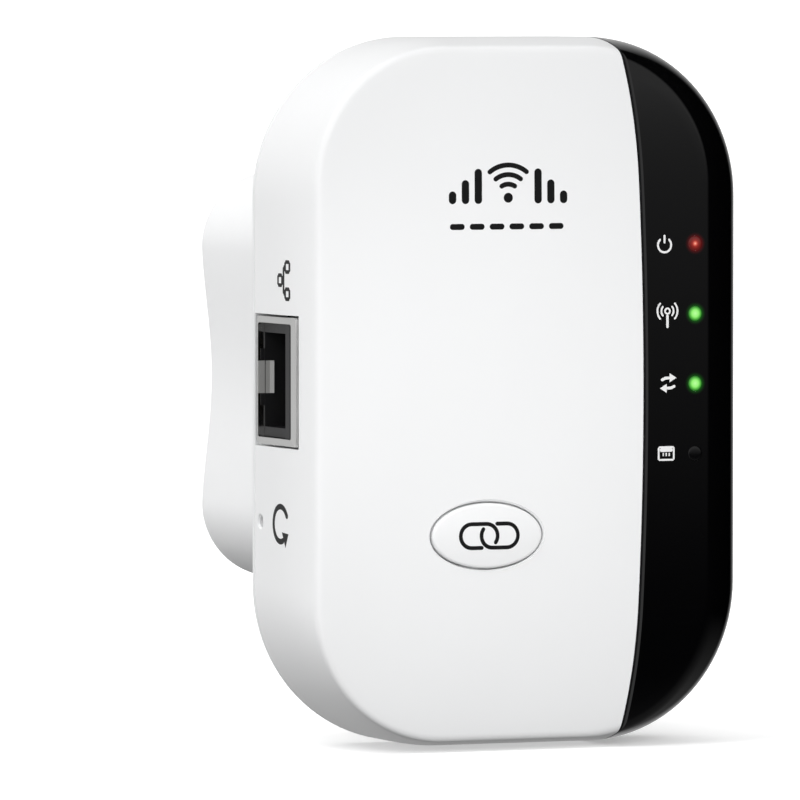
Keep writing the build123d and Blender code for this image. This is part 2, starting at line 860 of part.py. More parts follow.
nodes = {
    "front_cover": front_cover(),
    "lens_panel": lens_panel(),
    "rear_cover": rear_cover(),
    "plug_housing": plug_housing(),
    "plug_pin_left": plug_pin(-pin_spacing / 2),
    "plug_pin_right": plug_pin(pin_spacing / 2),
    "pin_sleeves": pin_sleeves(),
    "plug_contacts": plug_contacts(),
    "power_board": power_board(),
    "transformer_core": transformer_core(),
    "transformer_winding": transformer_winding(),
    "transformer_bobbin": transformer_bobbin(),
    "input_capacitors": input_capacitors(),
    "output_capacitor": standing_part(
        output_capacitor_x, output_capacitor_z, output_capacitor_radius, output_capacitor_tall
    ),
    "choke_coil": standing_part(output_capacitor_x, choke_z, choke_radius, choke_tall),
    "bridge_rectifier": flat_part(
        rectifier_x, rectifier_z, rectifier_width, rectifier_height, rectifier_tall
    ),
    "fuse_resistor": fuse_resistor(),
    "power_controller": flat_part(
        controller_x, controller_z, controller_width, controller_height, controller_tall
    ),
    "insulation_sheet": insulation_sheet(),
    "link_pins": link_pins(),
    "link_header": link_header(),
    "main_board": main_board(),
    "lan_jack_shell": lan_jack_shell(),
    "lan_jack_body": lan_jack_body(),
    "lan_contacts": lan_contacts(),
    "lan_magnetics": lan_magnetics(),
    "radio_chip": on_board(radio_x, radio_z, radio_size, radio_size, radio_tall),
    "shield_can": shield_can(radio_x, radio_z),
    "flash_chip": on_board(flash_x, flash_z, flash_size, flash_size, flash_tall),
    "crystal": on_board(crystal_x, crystal_z, crystal_width, crystal_height, crystal_tall),
    "voltage_regulator": on_board(
        regulator_x, regulator_z, regulator_width, regulator_height, regulator_tall
    ),
    "power_inductor": on_board(inductor_x, inductor_z, inductor_size, inductor_size, inductor_tall),
    "antenna_left": antenna(antenna_left_x),
    "antenna_right": antenna(antenna_right_x),
    "pairing_button": pairing_button(),
    "pairing_switch_base": pairing_switch_base(),
    "pairing_switch_plunger": pairing_switch_plunger(),
    "reset_switch_base": reset_switch_base(),
    "reset_switch_plunger": reset_switch_plunger(),
    "case_screws": countersunk_screws(),
    "housing_screws": housing_screws(),
    "board_screws": board_screws(),
}

for use, light_z in zip(("power", "signal", "data", "port"), light_places()):
    nodes[f"{use}_led"] = led(light_z)
    nodes[f"{use}_light_pipe"] = light_pipe(light_z)

for name, shape in nodes.items():
    export_step(shape, f"parts/{name}.step")
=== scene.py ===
import json
import math

import bpy
import numpy as np
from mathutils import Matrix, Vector


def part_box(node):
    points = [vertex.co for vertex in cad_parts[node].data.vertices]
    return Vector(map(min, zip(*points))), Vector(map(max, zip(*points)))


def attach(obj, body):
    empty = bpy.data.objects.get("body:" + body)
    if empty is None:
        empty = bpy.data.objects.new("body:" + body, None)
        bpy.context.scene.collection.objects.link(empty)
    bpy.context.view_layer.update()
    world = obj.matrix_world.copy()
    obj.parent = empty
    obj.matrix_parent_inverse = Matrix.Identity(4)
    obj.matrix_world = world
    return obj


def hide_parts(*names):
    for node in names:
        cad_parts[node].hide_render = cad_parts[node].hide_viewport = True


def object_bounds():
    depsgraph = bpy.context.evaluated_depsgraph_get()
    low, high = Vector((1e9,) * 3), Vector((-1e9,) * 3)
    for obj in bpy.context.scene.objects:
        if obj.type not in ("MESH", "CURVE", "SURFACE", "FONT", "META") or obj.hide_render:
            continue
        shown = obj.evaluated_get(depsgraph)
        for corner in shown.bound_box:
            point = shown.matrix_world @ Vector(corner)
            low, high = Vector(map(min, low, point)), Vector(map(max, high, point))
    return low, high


# Looks of a plug-in wireless range extender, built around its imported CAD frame.
# Lengths in the dictionaries are millimetres; depth runs from the plug face towards the room, which is -Y.

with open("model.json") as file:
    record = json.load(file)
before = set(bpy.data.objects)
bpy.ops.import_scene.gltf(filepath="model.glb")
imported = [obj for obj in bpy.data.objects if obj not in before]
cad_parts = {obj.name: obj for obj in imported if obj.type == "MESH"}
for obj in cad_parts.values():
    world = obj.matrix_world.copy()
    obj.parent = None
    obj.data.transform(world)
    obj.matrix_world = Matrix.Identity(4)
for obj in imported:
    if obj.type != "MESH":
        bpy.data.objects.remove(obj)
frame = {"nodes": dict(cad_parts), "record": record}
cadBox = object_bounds()
mm = 0.001
ringSteps = {"across": 20, "up": 44, "corner": 26}


def nodeBox(*names):
    # Lowest and highest corner of one or more CAD nodes together, in millimetres
    boxes = np.array([[list(corner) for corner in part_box(name)] for name in names]) / mm
    return boxes[:, 0].min(axis=0), boxes[:, 1].max(axis=0)


def nodeMiddle(*names):
    low, high = nodeBox(*names)
    return (low + high) / 2


def ringBasis(across, up, corner):
    # One turn of a rounded rectangle, anticlockwise: shares of the half width and half height
    # that the straight sides reach, and the direction of the corner arc at each point
    signs = np.array([(1, 1), (-1, 1), (-1, -1), (1, -1)], float)
    arc = np.linspace(0, 1, corner, endpoint=False)
    shares, turns = [], []
    for k in range(4):
        side = np.linspace(0, 1, (across, up)[k % 2], endpoint=False)
        step = signs[(k + 1) % 4] - signs[k]
        shares += [np.tile(signs[k], (corner, 1)), signs[k] + step * side[:, None]]
        turns += [k + arc, np.full(len(side), k + 1.0)]
    share = np.concatenate(shares)
    turn = np.concatenate(turns) * math.pi / 2
    return share[:, 0], share[:, 1], np.cos(turn), np.sin(turn)


def roundedRings(left, right, low, high, corner, basis):
    # x and z of a stack of rounded rectangles: the middle, plus the straight part, plus the corner arc
    limits = np.broadcast_arrays(left, right, low, high, corner)
    left, right, low, high, corner = [np.asarray(v, float).reshape(-1, 1) for v in limits]
    shareX, shareZ, cosTurn, sinTurn = basis
    x = (left + right) / 2 + shareX * ((right - left) / 2 - corner) + corner * cosTurn
    z = (low + high) / 2 + shareZ * ((high - low) / 2 - corner) + corner * sinTurn
    return x, z


def stack(x, depth, z):
    # Rings of points from x, depth and z, with a depth for each ring or each point
    depth = np.asarray(depth, float)
    if depth.ndim == 1:
        depth = depth[:, None]
    return np.stack(np.broadcast_arrays(x, -depth, z), axis=-1)


def joinRings(rings, loop=False):
    # Closed surface from rings joined in order: quads between rings, and a fan to the middle at each open end
    rows, cols = rings.shape[:2]
    here = np.arange(rows * cols).reshape(rows, cols)
    beside = np.roll(here, -1, axis=1)
    if loop:
        quads = np.stack([here, beside, np.roll(beside, -1, axis=0), np.roll(here, -1, axis=0)], -1)
        points, faces = rings.reshape(-1, 3), quads.reshape(-1, 4).tolist()
    else:
        quads = np.stack([here[:-1], beside[:-1], beside[1:], here[1:]], -1)
        points = np.vstack([rings.reshape(-1, 3), rings[[0, -1]].mean(axis=1)])
        first = np.stack([np.full(cols, rows * cols), beside[0], here[0]], -1)
        last = np.stack([np.full(cols, rows * cols + 1), here[-1], beside[-1]], -1)
        faces = quads.reshape(-1, 4).tolist() + first.tolist() + last.tolist()
    return outward(points, faces)


def outward(points, faces):
    # Turns every face round if the volume that they enclose comes out negative
    triangles = np.array([(f[0], f[k], f[k + 1]) for f in faces for k in range(1, len(f) - 1)])
    a, b, c = (points[triangles[:, k]] for k in range(3))
    volume = np.einsum("ij,ij->i", a, np.cross(b, c)).sum()
    return points, faces if volume > 0 else [f[::-1] for f in faces]


def makeMesh(name, parts):
    # One mesh object in metres from several closed surfaces in millimetres
    points, faces, start = [], [], 0
    for part, partFaces in parts:
        points.append(part)
        faces += [[i + start for i in f] for f in partFaces]
        start += len(part)
    mesh = bpy.data.meshes.new(name)
    mesh.from_pydata((np.concatenate(points) * mm).tolist(), [], faces)
    piece = bpy.data.objects.new(name, mesh)
    bpy.context.scene.collection.objects.link(piece)
    return piece


def carve(piece, parts, how="DIFFERENCE"):
    # Cuts closed surfaces out of a piece, or keeps what is inside them, and leaves the result in its mesh
    tool = parts if isinstance(parts, bpy.types.Object) else makeMesh("cuttingTool", parts)
    cut = piece.modifiers.new("cut", "BOOLEAN")
    cut.object = tool
    cut.operation = how
    cut.solver = "MANIFOLD"
    graph = bpy.context.evaluated_depsgraph_get()
    result = bpy.data.meshes.new_from_object(piece.evaluated_get(graph))
    piece.modifiers.clear()
    piece.data = result
    bpy.data.objects.remove(tool)
    return piece


def finishPiece(piece, finish, body="case", replaced=(), sharpAngle=32):
    # Shading, material and body of a finished piece
    piece.data.shade_smooth()
    piece.data.set_sharp_from_angle(angle=math.radians(sharpAngle))
    piece.data.materials.clear()
    piece.data.materials.append(finish)
    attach(piece, body)
    if replaced:
        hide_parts(*replaced)
    return piece


def ovalRings(x, z, halfWidth, halfHeight, insets, depths, count=64, scale=1.0):
    # Ovals round a point, each drawn in by an inset and then scaled, at the given depths
    turn = np.linspace(0, 2 * math.pi, count, endpoint=False)
    insets = np.asarray(insets, float)[:, None]
    scale = np.reshape(scale, (-1, 1))
    ringX = x + scale * (halfWidth - insets) * np.cos(turn)
    ringZ = z + scale * (halfHeight - insets) * np.sin(turn)
    return stack(ringX, depths, ringZ)


def prism(x, z, halfWidth, halfHeight, near, far, count=64):
    # Straight oval plug between two depths, to cut a hole
    return joinRings(ovalRings(x, z, halfWidth, halfHeight, (0, 0), (near, far), count))


def cuboid(xFrom, xTo, near, far, zFrom, zTo, corner=0.2):
    # Block between two depths with rounded upright corners
    basis = ringBasis(2, 2, 5)
    x, z = roundedRings([xFrom] * 2, [xTo] * 2, [zFrom] * 2, [zTo] * 2, [corner] * 2, basis)
    return joinRings(stack(x, (near, far), z))


def newGroup(name, inputs, outputs):
    group = bpy.data.node_groups.new(name, "ShaderNodeTree")
    for socketName, kind, value in inputs:
        socket = group.interface.new_socket(name=socketName, in_out="INPUT", socket_type=kind)
        socket.default_value = value
    for socketName, kind in outputs:
        group.interface.new_socket(name=socketName, in_out="OUTPUT", socket_type=kind)
    return group, group.nodes.new("NodeGroupInput"), group.nodes.new("NodeGroupOutput")


def fillInputs(tree, node, links):
    # Joins or fills a node's inputs by name or number
    for key, value in dict(links).items():
        if isinstance(value, bpy.types.NodeSocket):
            tree.links.new(value, node.inputs[key])
        else:
            node.inputs[key].default_value = value
    return node


def addNode(tree, kind, links=(), **settings):
    # Adds a node, sets its properties and fills its inputs
    node = tree.nodes.new(kind)
    for key, value in settings.items():
        setattr(node, key, value)
    return fillInputs(tree, node, links)


def useGroup(tree, group, links=()):
    return addNode(tree, "ShaderNodeGroup", links, node_tree=group)


def calculate(tree, operation, a, b):
    return addNode(tree, "ShaderNodeMath", {0: a, 1: b}, operation=operation).outputs[0]


def remap(tree, value, span, result=(0.0, 1.0), kind="LINEAR"):
    # A value moved from one span to another, held at its ends
    links = {"Value": value, "From Min": span[0], "From Max": span[1],
             "To Min": result[0], "To Max": result[1]}
    return addNode(tree, "ShaderNodeMapRange", links, interpolation_type=kind).outputs[0]


def noise(tree, place, scale, detail, roughness=0.5):
    links = {"Vector": place, "Scale": scale, "Detail": detail, "Roughness": roughness}
    return addNode(tree, "ShaderNodeTexNoise", links).outputs["Fac"]


def objectPlace(tree):
    return addNode(tree, "ShaderNodeTexCoord").outputs["Object"]


effectLook = {
    "coarseScale": 0.08,            # scale of the coarse grain, as a share of the fine one
    "toneSpan": (0.15, 0.85),       # spans of noise that each effect spreads out
    "hairSpan": (0.5, 0.95),
    "polishSpan": (0.0, 1.2),
    "dustSpan": (0.3, 0.8),
    "hairTurn": (0.2, 0.5, 0.3),
    "hairStretch": (40, 900, 300),
    "hairScale": 3.0,
    "dustFacing": (0.1, 1.0),       # how far up a surface must face to hold dust
    "dustScale": 1400.0,
    "dustColor": (0.62, 0.6, 0.57, 1),
}


def makeGrainGroup():
    # Moulding grain: fine noise with a coarser one over it, as a height from 0 to 1
    group, given, result = newGroup(
        "mouldingGrain",
        [("Scale", "NodeSocketFloat", 900.0), ("Coarse Share", "NodeSocketFloat", 0.3)],
        [("Height", "NodeSocketFloat")],
    )
    place = objectPlace(group)
    scale = given.outputs["Scale"]
    fine = noise(group, place, scale, 3.0)
    coarse = noise(group, place, calculate(group, "MULTIPLY", scale, effectLook["coarseScale"]), 2.0)
    blend = addNode(group, "ShaderNodeMix", {"Factor": given.outputs["Coarse Share"], 2: fine, 3: coarse})
    group.links.new(blend.outputs[0], result.inputs["Height"])
    return group


def makeToneGroup():
    # Slow drift of a colour over the surface, between the colour and a darker one
    group, given, result = newGroup(
        "toneDrift",
        [("Color", "NodeSocketColor", (0.8, 0.8, 0.8, 1)), ("Amount", "NodeSocketFloat", 0.04),
         ("Scale", "NodeSocketFloat", 60.0)],
        [("Color", "NodeSocketColor"), ("Mask", "NodeSocketFloat")],
    )
    cloud = noise(group, objectPlace(group), given.outputs["Scale"], 4.0, 0.6)
    spread = remap(group, cloud, effectLook["toneSpan"], kind="SMOOTHSTEP")
    share = calculate(group, "MULTIPLY", spread, given.outputs["Amount"])
    keep = calculate(group, "SUBTRACT", 1.0, share)
    tinted = addNode(group, "ShaderNodeVectorMath", {0: given.outputs["Color"], "Scale": keep},
                     operation="SCALE")
    group.links.new(tinted.outputs[0], result.inputs["Color"])
    group.links.new(spread, result.inputs["Mask"])
    return group


def makePolishGroup():
    # Handling marks: roughness that wanders between a low and a high value, with fine crossing hairlines
    group, given, result = newGroup(
        "handlingMarks",
        [("Low", "NodeSocketFloat", 0.3), ("High", "NodeSocketFloat", 0.4),
         ("Scale", "NodeSocketFloat", 90.0), ("Hairlines", "NodeSocketFloat", 0.2)],
        [("Roughness", "NodeSocketFloat")],
    )
    look = effectLook
    place = objectPlace(group)
    cloud = noise(group, place, given.outputs["Scale"], 5.0)
    stretch = addNode(group, "ShaderNodeMapping", {"Vector": place, "Rotation": look["hairTurn"],
                                                   "Scale": look["hairStretch"]})
    hair = noise(group, stretch.outputs[0], look["hairScale"], 3.0)
    ridge = remap(group, hair, look["hairSpan"], kind="SMOOTHSTEP")
    lines = calculate(group, "MULTIPLY", ridge, given.outputs["Hairlines"])
    total = calculate(group, "ADD", cloud, lines)
    wander = remap(group, total, look["polishSpan"], (given.outputs["Low"], given.outputs["High"]))
    group.links.new(wander, result.inputs["Roughness"])
    return group


def makeDustGroup():
    # Settled dust: more where the surface faces up, broken by a fine noise, laid over a colour
    group, given, result = newGroup(
        "settledDust",
        [("Color", "NodeSocketColor", (0.8, 0.8, 0.8, 1)), ("Amount", "NodeSocketFloat", 0.1)],
        [("Color", "NodeSocketColor"), ("Mask", "NodeSocketFloat")],
    )
    look = effectLook
    shape = addNode(group, "ShaderNodeNewGeometry")
    parts = addNode(group, "ShaderNodeSeparateXYZ", {0: shape.outputs["Normal"]})
    facing = remap(group, parts.outputs["Z"], look["dustFacing"])
    specks = noise(group, objectPlace(group), look["dustScale"], 4.0)
    broken = remap(group, specks, look["dustSpan"], kind="SMOOTHSTEP")
    both = calculate(group, "MULTIPLY", facing, broken)
    mask = calculate(group, "MULTIPLY", both, given.outputs["Amount"])
    mixed = addNode(group, "ShaderNodeMix", {"Factor": mask, 6: given.outputs["Color"], 7: look["dustColor"]},
                    data_type="RGBA")
    group.links.new(mixed.outputs[2], result.inputs["Color"])
    group.links.new(mask, result.inputs["Mask"])
    return group


grainGroup = makeGrainGroup()
toneGroup = makeToneGroup()
polishGroup = makePolishGroup()
dustGroup = makeDustGroup()
print("finish groups ready")


grainDeep = 0.05 * mm


def makeFinish(name, color, rough, metal=0.0, coat=0.0, coatRough=0.1, drift=0.05, driftScale=70.0,
               grain=0.0, grainScale=1500.0, hairlines=0.1, dust=0.0, ior=1.5, settings=()):
    # A finish from the four effects: drifting colour, dust, wandering roughness and moulding grain
    finish = bpy.data.materials.new(name)
    finish.use_nodes = True
    tree = finish.node_tree
    shader = tree.nodes["Principled BSDF"]
    tone = useGroup(tree, toneGroup, {"Color": (*color, 1), "Amount": drift, "Scale": driftScale})
    layer = tone.outputs["Color"]
    if dust:
        layer = useGroup(tree, dustGroup, {"Color": layer, "Amount": dust}).outputs["Color"]
    polish = useGroup(tree, polishGroup, {"Low": rough[0], "High": rough[1], "Hairlines": hairlines})
    tree.links.new(layer, shader.inputs["Base Color"])
    tree.links.new(polish.outputs["Roughness"], shader.inputs["Roughness"])
    shader.inputs["Metallic"].default_value = metal
    shader.inputs["IOR"].default_value = ior
    shader.inputs["Coat Weight"].default_value = coat
    shader.inputs["Coat Roughness"].default_value = coatRough
    if grain:
        relief = useGroup(tree, grainGroup, {"Scale": grainScale})
        bump = addNode(tree, "ShaderNodeBump", {"Height": relief.outputs["Height"], "Strength": grain,
                                                "Distance": grainDeep})
        tree.links.new(bump.outputs["Normal"], shader.inputs["Normal"])
    for key, value in dict(settings).items():
        shader.inputs[key].default_value = value
    return finish


finishes = {
    "white_housing": makeFinish("whiteHousing", (0.88, 0.885, 0.89), (0.26, 0.34), coat=0.12, drift=0.012,
                                grain=0.10, grainScale=2600.0, hairlines=0.05, dust=0.03),
    "button_white": makeFinish("buttonWhite", (0.88, 0.885, 0.89), (0.2, 0.28), coat=0.2, drift=0.01,
                               grain=0.04, grainScale=2600.0, hairlines=0.15),
    "grey_housing": makeFinish("plugHousingWhite", (0.88, 0.885, 0.89), (0.42, 0.55), drift=0.02,
                               grain=0.35, grainScale=1300.0, dust=0.05),
    "black_lens": makeFinish("blackLens", (0.0014, 0.0014, 0.0017), (0.07, 0.13), coat=0.5, coatRough=0.04,
                             drift=0.2, hairlines=0.5, dust=0.004),
    "plated_pin": makeFinish("nickelPlate", (0.78, 0.76, 0.72), (0.14, 0.26), metal=1.0, drift=0.08,
                             hairlines=0.8, grain=0.05),
    "sleeve_plastic": makeFinish("sleevePlastic", (0.018, 0.018, 0.019), (0.42, 0.52), grain=0.25),
    "spring_brass": makeFinish("springBrass", (0.74, 0.55, 0.24), (0.22, 0.36), metal=1.0, drift=0.15),
    "power_board": makeFinish("paperLaminate", (0.5, 0.35, 0.15), (0.5, 0.62), drift=0.2, driftScale=220.0,
                              grain=0.4),
    "ferrite": makeFinish("ferrite", (0.045, 0.045, 0.048), (0.6, 0.75), drift=0.3, grain=0.8),
    "winding_tape": makeFinish("windingTape", (0.72, 0.5, 0.05), (0.25, 0.34), drift=0.1, grain=0.15),
    "dark_plastic": makeFinish("darkPlastic", (0.012, 0.012, 0.013), (0.36, 0.48), grain=0.25),
    "capacitor_sleeve": makeFinish("shrinkSleeve", (0.01, 0.014, 0.035), (0.22, 0.3), coat=0.3),
    "chip_black": makeFinish("chipEpoxy", (0.018, 0.018, 0.019), (0.55, 0.68), grain=0.5, grainScale=2200.0),
    "resistor_body": makeFinish("resistorLacquer", (0.16, 0.33, 0.31), (0.2, 0.3), coat=0.4, drift=0.15),
    "clear_sheet": makeFinish("insulatingFilm", (0.62, 0.6, 0.5), (0.2, 0.3), drift=0.05),
    "gold_contact": makeFinish("goldFlash", (0.83, 0.6, 0.22), (0.16, 0.26), metal=1.0, drift=0.1,
                               hairlines=0.6),
    "main_board": makeFinish("solderMask", (0.008, 0.085, 0.03), (0.2, 0.32), coat=0.4, drift=0.3,
                             driftScale=300.0, grain=0.2),
    "shield_metal": makeFinish("tinPlate", (0.62, 0.62, 0.6), (0.22, 0.38), metal=1.0, drift=0.12,
                               hairlines=0.9, grain=0.1),
    "crystal_can": makeFinish("crystalCan", (0.66, 0.64, 0.58), (0.18, 0.26), metal=1.0, drift=0.08),
    "copper_antenna": makeFinish("copperAntenna", (0.76, 0.4, 0.22), (0.22, 0.34), metal=1.0, drift=0.15),
    "clear_pipe": makeFinish("smokedPipe", (0.003, 0.003, 0.0034), (0.09, 0.15), coat=0.5, drift=0.1),
    "led_body": makeFinish("ledBody", (0.74, 0.7, 0.52), (0.24, 0.34), drift=0.05),
    "switch_black": makeFinish("switchPlastic", (0.014, 0.014, 0.015), (0.35, 0.45), grain=0.2),
    "screw_steel": makeFinish("screwSteel", (0.5, 0.5, 0.49), (0.2, 0.34), metal=1.0, drift=0.15,
                              hairlines=0.7),
}
polishedTin = makeFinish("polishedTin", (0.9, 0.9, 0.89), (0.1, 0.2), metal=1.0, drift=0.08, hairlines=0.5)
satinTin = makeFinish("satinTin", (0.5, 0.5, 0.49), (0.42, 0.55), metal=0.3, drift=0.08, grain=0.1)
darkInk = makeFinish("darkInk", (0.004, 0.004, 0.0045), (0.5, 0.6), drift=0.3, driftScale=900.0, grain=0.2)
whiteInk = makeFinish("whiteInk", (0.86, 0.86, 0.86), (0.4, 0.5), drift=0.03, driftScale=900.0, grain=0.1)

for entry in frame["record"]["subparts"]:
    node = frame["nodes"][entry["node"]]
    node.data.materials.clear()
    node.data.materials.append(finishes[entry["material_slot"]])
print("finishes ready:", len(bpy.data.materials))


bodyShape = {
    "shoulderRun": 12.0,    # depth over which the sides curve in to the front face
    "rakeLeft": 1.0,        # how far each side comes in at the front face
    "rakeRight": 7.3,
    "rakeEnds": 1.2,
    "cornerRear": 20.4,
    "cornerLoss": 3.0,
    "crease": 0.9,          # width of the rounding between the front face and the sides
    "crown": 0.7,           # how far the middle of the front face stands proud of its edges
    "endRoll": 0.8,         # how far its top and bottom roll back beyond that
    "skinInset": 0.03,
    "footRings": 6,         # rings along the straight foot, the raked wall, the crease and the face
    "wallRings": 22,
    "creaseRings": 8,
    "faceRings": 30,
    "faceEnd": 0.03,        # the last ring of the face as a share of its outline
}
rearLow, rearHigh = nodeBox("rear_cover")
shellLow, shellHigh = nodeBox("front_cover", "lens_panel")
bodyMiddleZ = (rearLow[2] + rearHigh[2]) / 2
bodyHalfHeight = (rearHigh[2] - rearLow[2]) / 2
frontDepth = -shellLow[1]
partingDepth = -shellHigh[1]
rearDepth = -rearHigh[1]
faceLeft = rearLow[0] + bodyShape["rakeLeft"]
faceRight = rearHigh[0] - bodyShape["rakeRight"]
bodyBasis = ringBasis(ringSteps["across"], ringSteps["up"], ringSteps["corner"])


def crownDrop(x, z):
    # How far the front face falls back from its middle: a shallow paraboloid, and a steep roll near both ends
    acrossShare = (x - (faceLeft + faceRight) / 2) / ((faceRight - faceLeft) / 2)
    upShare = (z - bodyMiddleZ) / bodyHalfHeight
    return bodyShape["crown"] * (acrossShare**2 + upShare**2) / 2 + bodyShape["endRoll"] * upShare**8


def faceDepth(x, z):
    return frontDepth - bodyShape["skinInset"] - crownDrop(x, z)


def bodySkin(offset, crease, start):
    # Rings of the body from its rear rim to the middle of the front face, drawn in by an offset.
    # The sides come in as a parabola past the shoulder, a quadratic curve rounds the crease,
    # and the front face is the last outline scaled down towards its middle.
    shape = bodyShape
    run = shape["shoulderRun"]
    shoulder = frontDepth - run
    front = frontDepth - offset

    def sideInset(rake, share):
        return rake * share**2 + offset * np.sqrt(1 + (2 * rake * share / run) ** 2)

    depth = np.concatenate([np.linspace(start, shoulder, shape["footRings"])[:-1],
                            np.linspace(shoulder, front - crease, shape["wallRings"])])
    share = np.clip((depth - shoulder) / run, 0, None)
    q = np.linspace(0, 1, shape["creaseRings"])[1:]
    lead, held, past = (1 - q) ** 2, 2 * q * (1 - q), q**2
    frontShare = (front - shoulder) / run
    insets = []
    for rake in (shape["rakeLeft"], shape["rakeRight"], shape["rakeEnds"]):
        wall = sideInset(rake, share)
        edge = sideInset(rake, frontShare)
        insets.append(np.concatenate([wall, lead * wall[-1] + held * edge + past * (edge + crease)]))
    wallCorner = shape["cornerRear"] - shape["cornerLoss"] * share**2 - offset
    edgeCorner = shape["cornerRear"] - shape["cornerLoss"] * frontShare**2 - offset
    curve = lead * wallCorner[-1] + held * edgeCorner + past * (edgeCorner - crease)
    corner = np.concatenate([wallCorner, curve])
    depth = np.concatenate([depth, lead * depth[-1] + (1 - lead) * front])
    x, z = roundedRings(
        rearLow[0] + insets[0], rearHigh[0] - insets[1],
        rearLow[2] + insets[2], rearHigh[2] - insets[2], corner, bodyBasis,
    )
    scale = np.linspace(1, shape["faceEnd"], shape["faceRings"])[1:, None]
    middleX, middleZ = x[-1].mean(), z[-1].mean()
    x = np.vstack([x, middleX + scale * (x[-1] - middleX)])
    z = np.vstack([z, middleZ + scale * (z[-1] - middleZ)])
    depth = np.concatenate([depth, np.full(len(scale), front)])
    crownShare = np.clip((depth - shoulder) / run, 0, 1)[:, None] ** 2
    return stack(x, depth[:, None] - crownShare * crownDrop(x, z), z)


def bodyShell(offset, thickness, start, rim):
    # Closed wall: the outer skin, a small bevel at its rear rim, and the inner skin
    outer = bodySkin(offset, bodyShape["crease"], start + rim)
    rimRing = bodySkin(offset + rim, bodyShape["crease"], start)[:1]
    inner = bodySkin(offset + thickness, bodyShape["crease"] / 2, start)
    return joinRings(np.concatenate([outer[::-1], rimRing, inner]))


def bodySolid(offset, start):
    return joinRings(bodySkin(offset, bodyShape["crease"], start))


seamShape = {
    "crossing": 14.25,      # x where the seam crosses the middle of the front face
    "radius": 583.0,        # bend of its long middle part
    "endRadius": 88.0,      # tighter bend near its top and bottom
    "bendShare": 0.6,       # share of the half height at which the tighter bend begins
    "gap": 0.32,
    "bevel": 0.42,          # slope along the lens panel's edge
    "bevelDeep": 0.4,
    "lensWall": 1.4,
    "lensSeat": 1.5,
    "cutReach": 60,         # how far the cutting shape runs up, down, right and forward
    "cutBack": 20,
    "cutRows": 161,
    "cutLift": 0.05,        # from the front face to the top of its slope
}


def seamX(z):
    # A wide circle bulging to the right, then a tighter circle that touches it at each end
    radius, endRadius = seamShape["radius"], seamShape["endRadius"]
    up = np.abs(z - bodyMiddleZ)
    bend = seamShape["bendShare"] * bodyHalfHeight
    start = np.sqrt(radius**2 - bend**2)
    beyond = np.clip(up - bend, 0, None) + bend * endRadius / radius
    fall = radius - np.sqrt(radius**2 - np.minimum(up, bend) ** 2)
    return seamShape["crossing"] - fall - endRadius * start / radius + np.sqrt(endRadius**2 - beyond**2)


def rightOfSeam(shift, bevel, deep):
    # Everything right of the seam: a section in x and depth carried up it, with a slope at its front edge
    shape = seamShape
    z = np.linspace(-shape["cutReach"], shape["cutReach"], shape["cutRows"])[:, None] + bodyMiddleZ
    edge = seamX(z) + shift
    slopeEnd = faceDepth(edge, z) + shape["cutLift"]
    far, back = np.full(z.shape, shape["cutReach"]), np.full(z.shape, shape["cutBack"])
    x = np.hstack([edge, edge, edge + bevel, edge + bevel, far, far])
    depth = np.hstack([back, slopeEnd - deep, slopeEnd, far, far, back])
    return joinRings(stack(x, depth, z + 0 * x))


def lightPlaces():
    # x and z of each status light, from the top down, from the CAD light pipes
    return [nodeMiddle(f"{use}_light_pipe")[[0, 2]] for use in ("power", "signal", "data", "port")]


coverDetail = {
    "wall": 1.8,
    "rim": 0.18,
    "partingGap": 0.06,
    "buttonGap": 0.22,
    "buttonLip": 0.22,       # slope round the button's opening
    "jackGap": 0.24,
    "pinholeRadius": 0.75,
    "pinholeLip": 0.25,
    "lightHole": 0.95,
    "underLensDeep": 0.4,   # depth of the cut beside the lens panel
    "cutDeep": 4,           # how far the openings are cut in past a wall, and out beyond it
    "cutPast": 1,
}


def buildFrontCover():
    # White tub, cut away under the lens panel, with openings for the button, the jack and the pinhole
    detail = coverDetail
    start = partingDepth + detail["partingGap"]
    shell = bodyShell(bodyShape["skinInset"], detail["wall"], start, detail["rim"])
    cover = makeMesh("front_shell", [shell])
    underLens = makeMesh("underLens", [rightOfSeam(0, 0, detail["underLensDeep"])])
    carve(underLens, [bodySolid(seamShape["lensSeat"], 10)])
    carve(cover, underLens)
    button = nodeMiddle("pairing_button")
    half = buttonShape["halfWidth"] + detail["buttonGap"], buttonShape["halfHeight"] + detail["buttonGap"]
    face = faceDepth(button[0], button[2])
    lip = detail["buttonLip"]
    deep, past = detail["cutDeep"], detail["cutPast"]
    insets, depths = (0, 0, -lip, -lip - past), (face - deep, face - lip, face, face + past)
    opening = ovalRings(button[0], button[2], *half, insets, depths, 96)
    carve(cover, [joinRings(opening)])
    low, high = nodeBox("lan_jack_shell")
    gap = detail["jackGap"]
    carve(cover, [cuboid(low[0] - 3, low[0] + 4, 20, -low[1] + gap, low[2] - gap, high[2] + gap, 0.3)])
    reset = nodeMiddle("reset_switch_plunger")
    radius, lip = detail["pinholeRadius"], detail["pinholeLip"]
    edge = rearLow[0] + bodyShape["skinInset"]
    turn = np.linspace(0, 2 * math.pi, 40, endpoint=False)
    radii = np.array([[radius], [radius], [radius + lip], [radius + lip + past]])
    x = np.array([[edge + deep], [edge + lip], [edge], [edge - past]]) + 0 * turn
    rings = np.stack([x, reset[1] + radii * np.cos(turn), reset[2] + radii * np.sin(turn)], -1)
    carve(cover, [joinRings(rings)])
    return finishPiece(cover, finishes["white_housing"], replaced=["front_cover"])


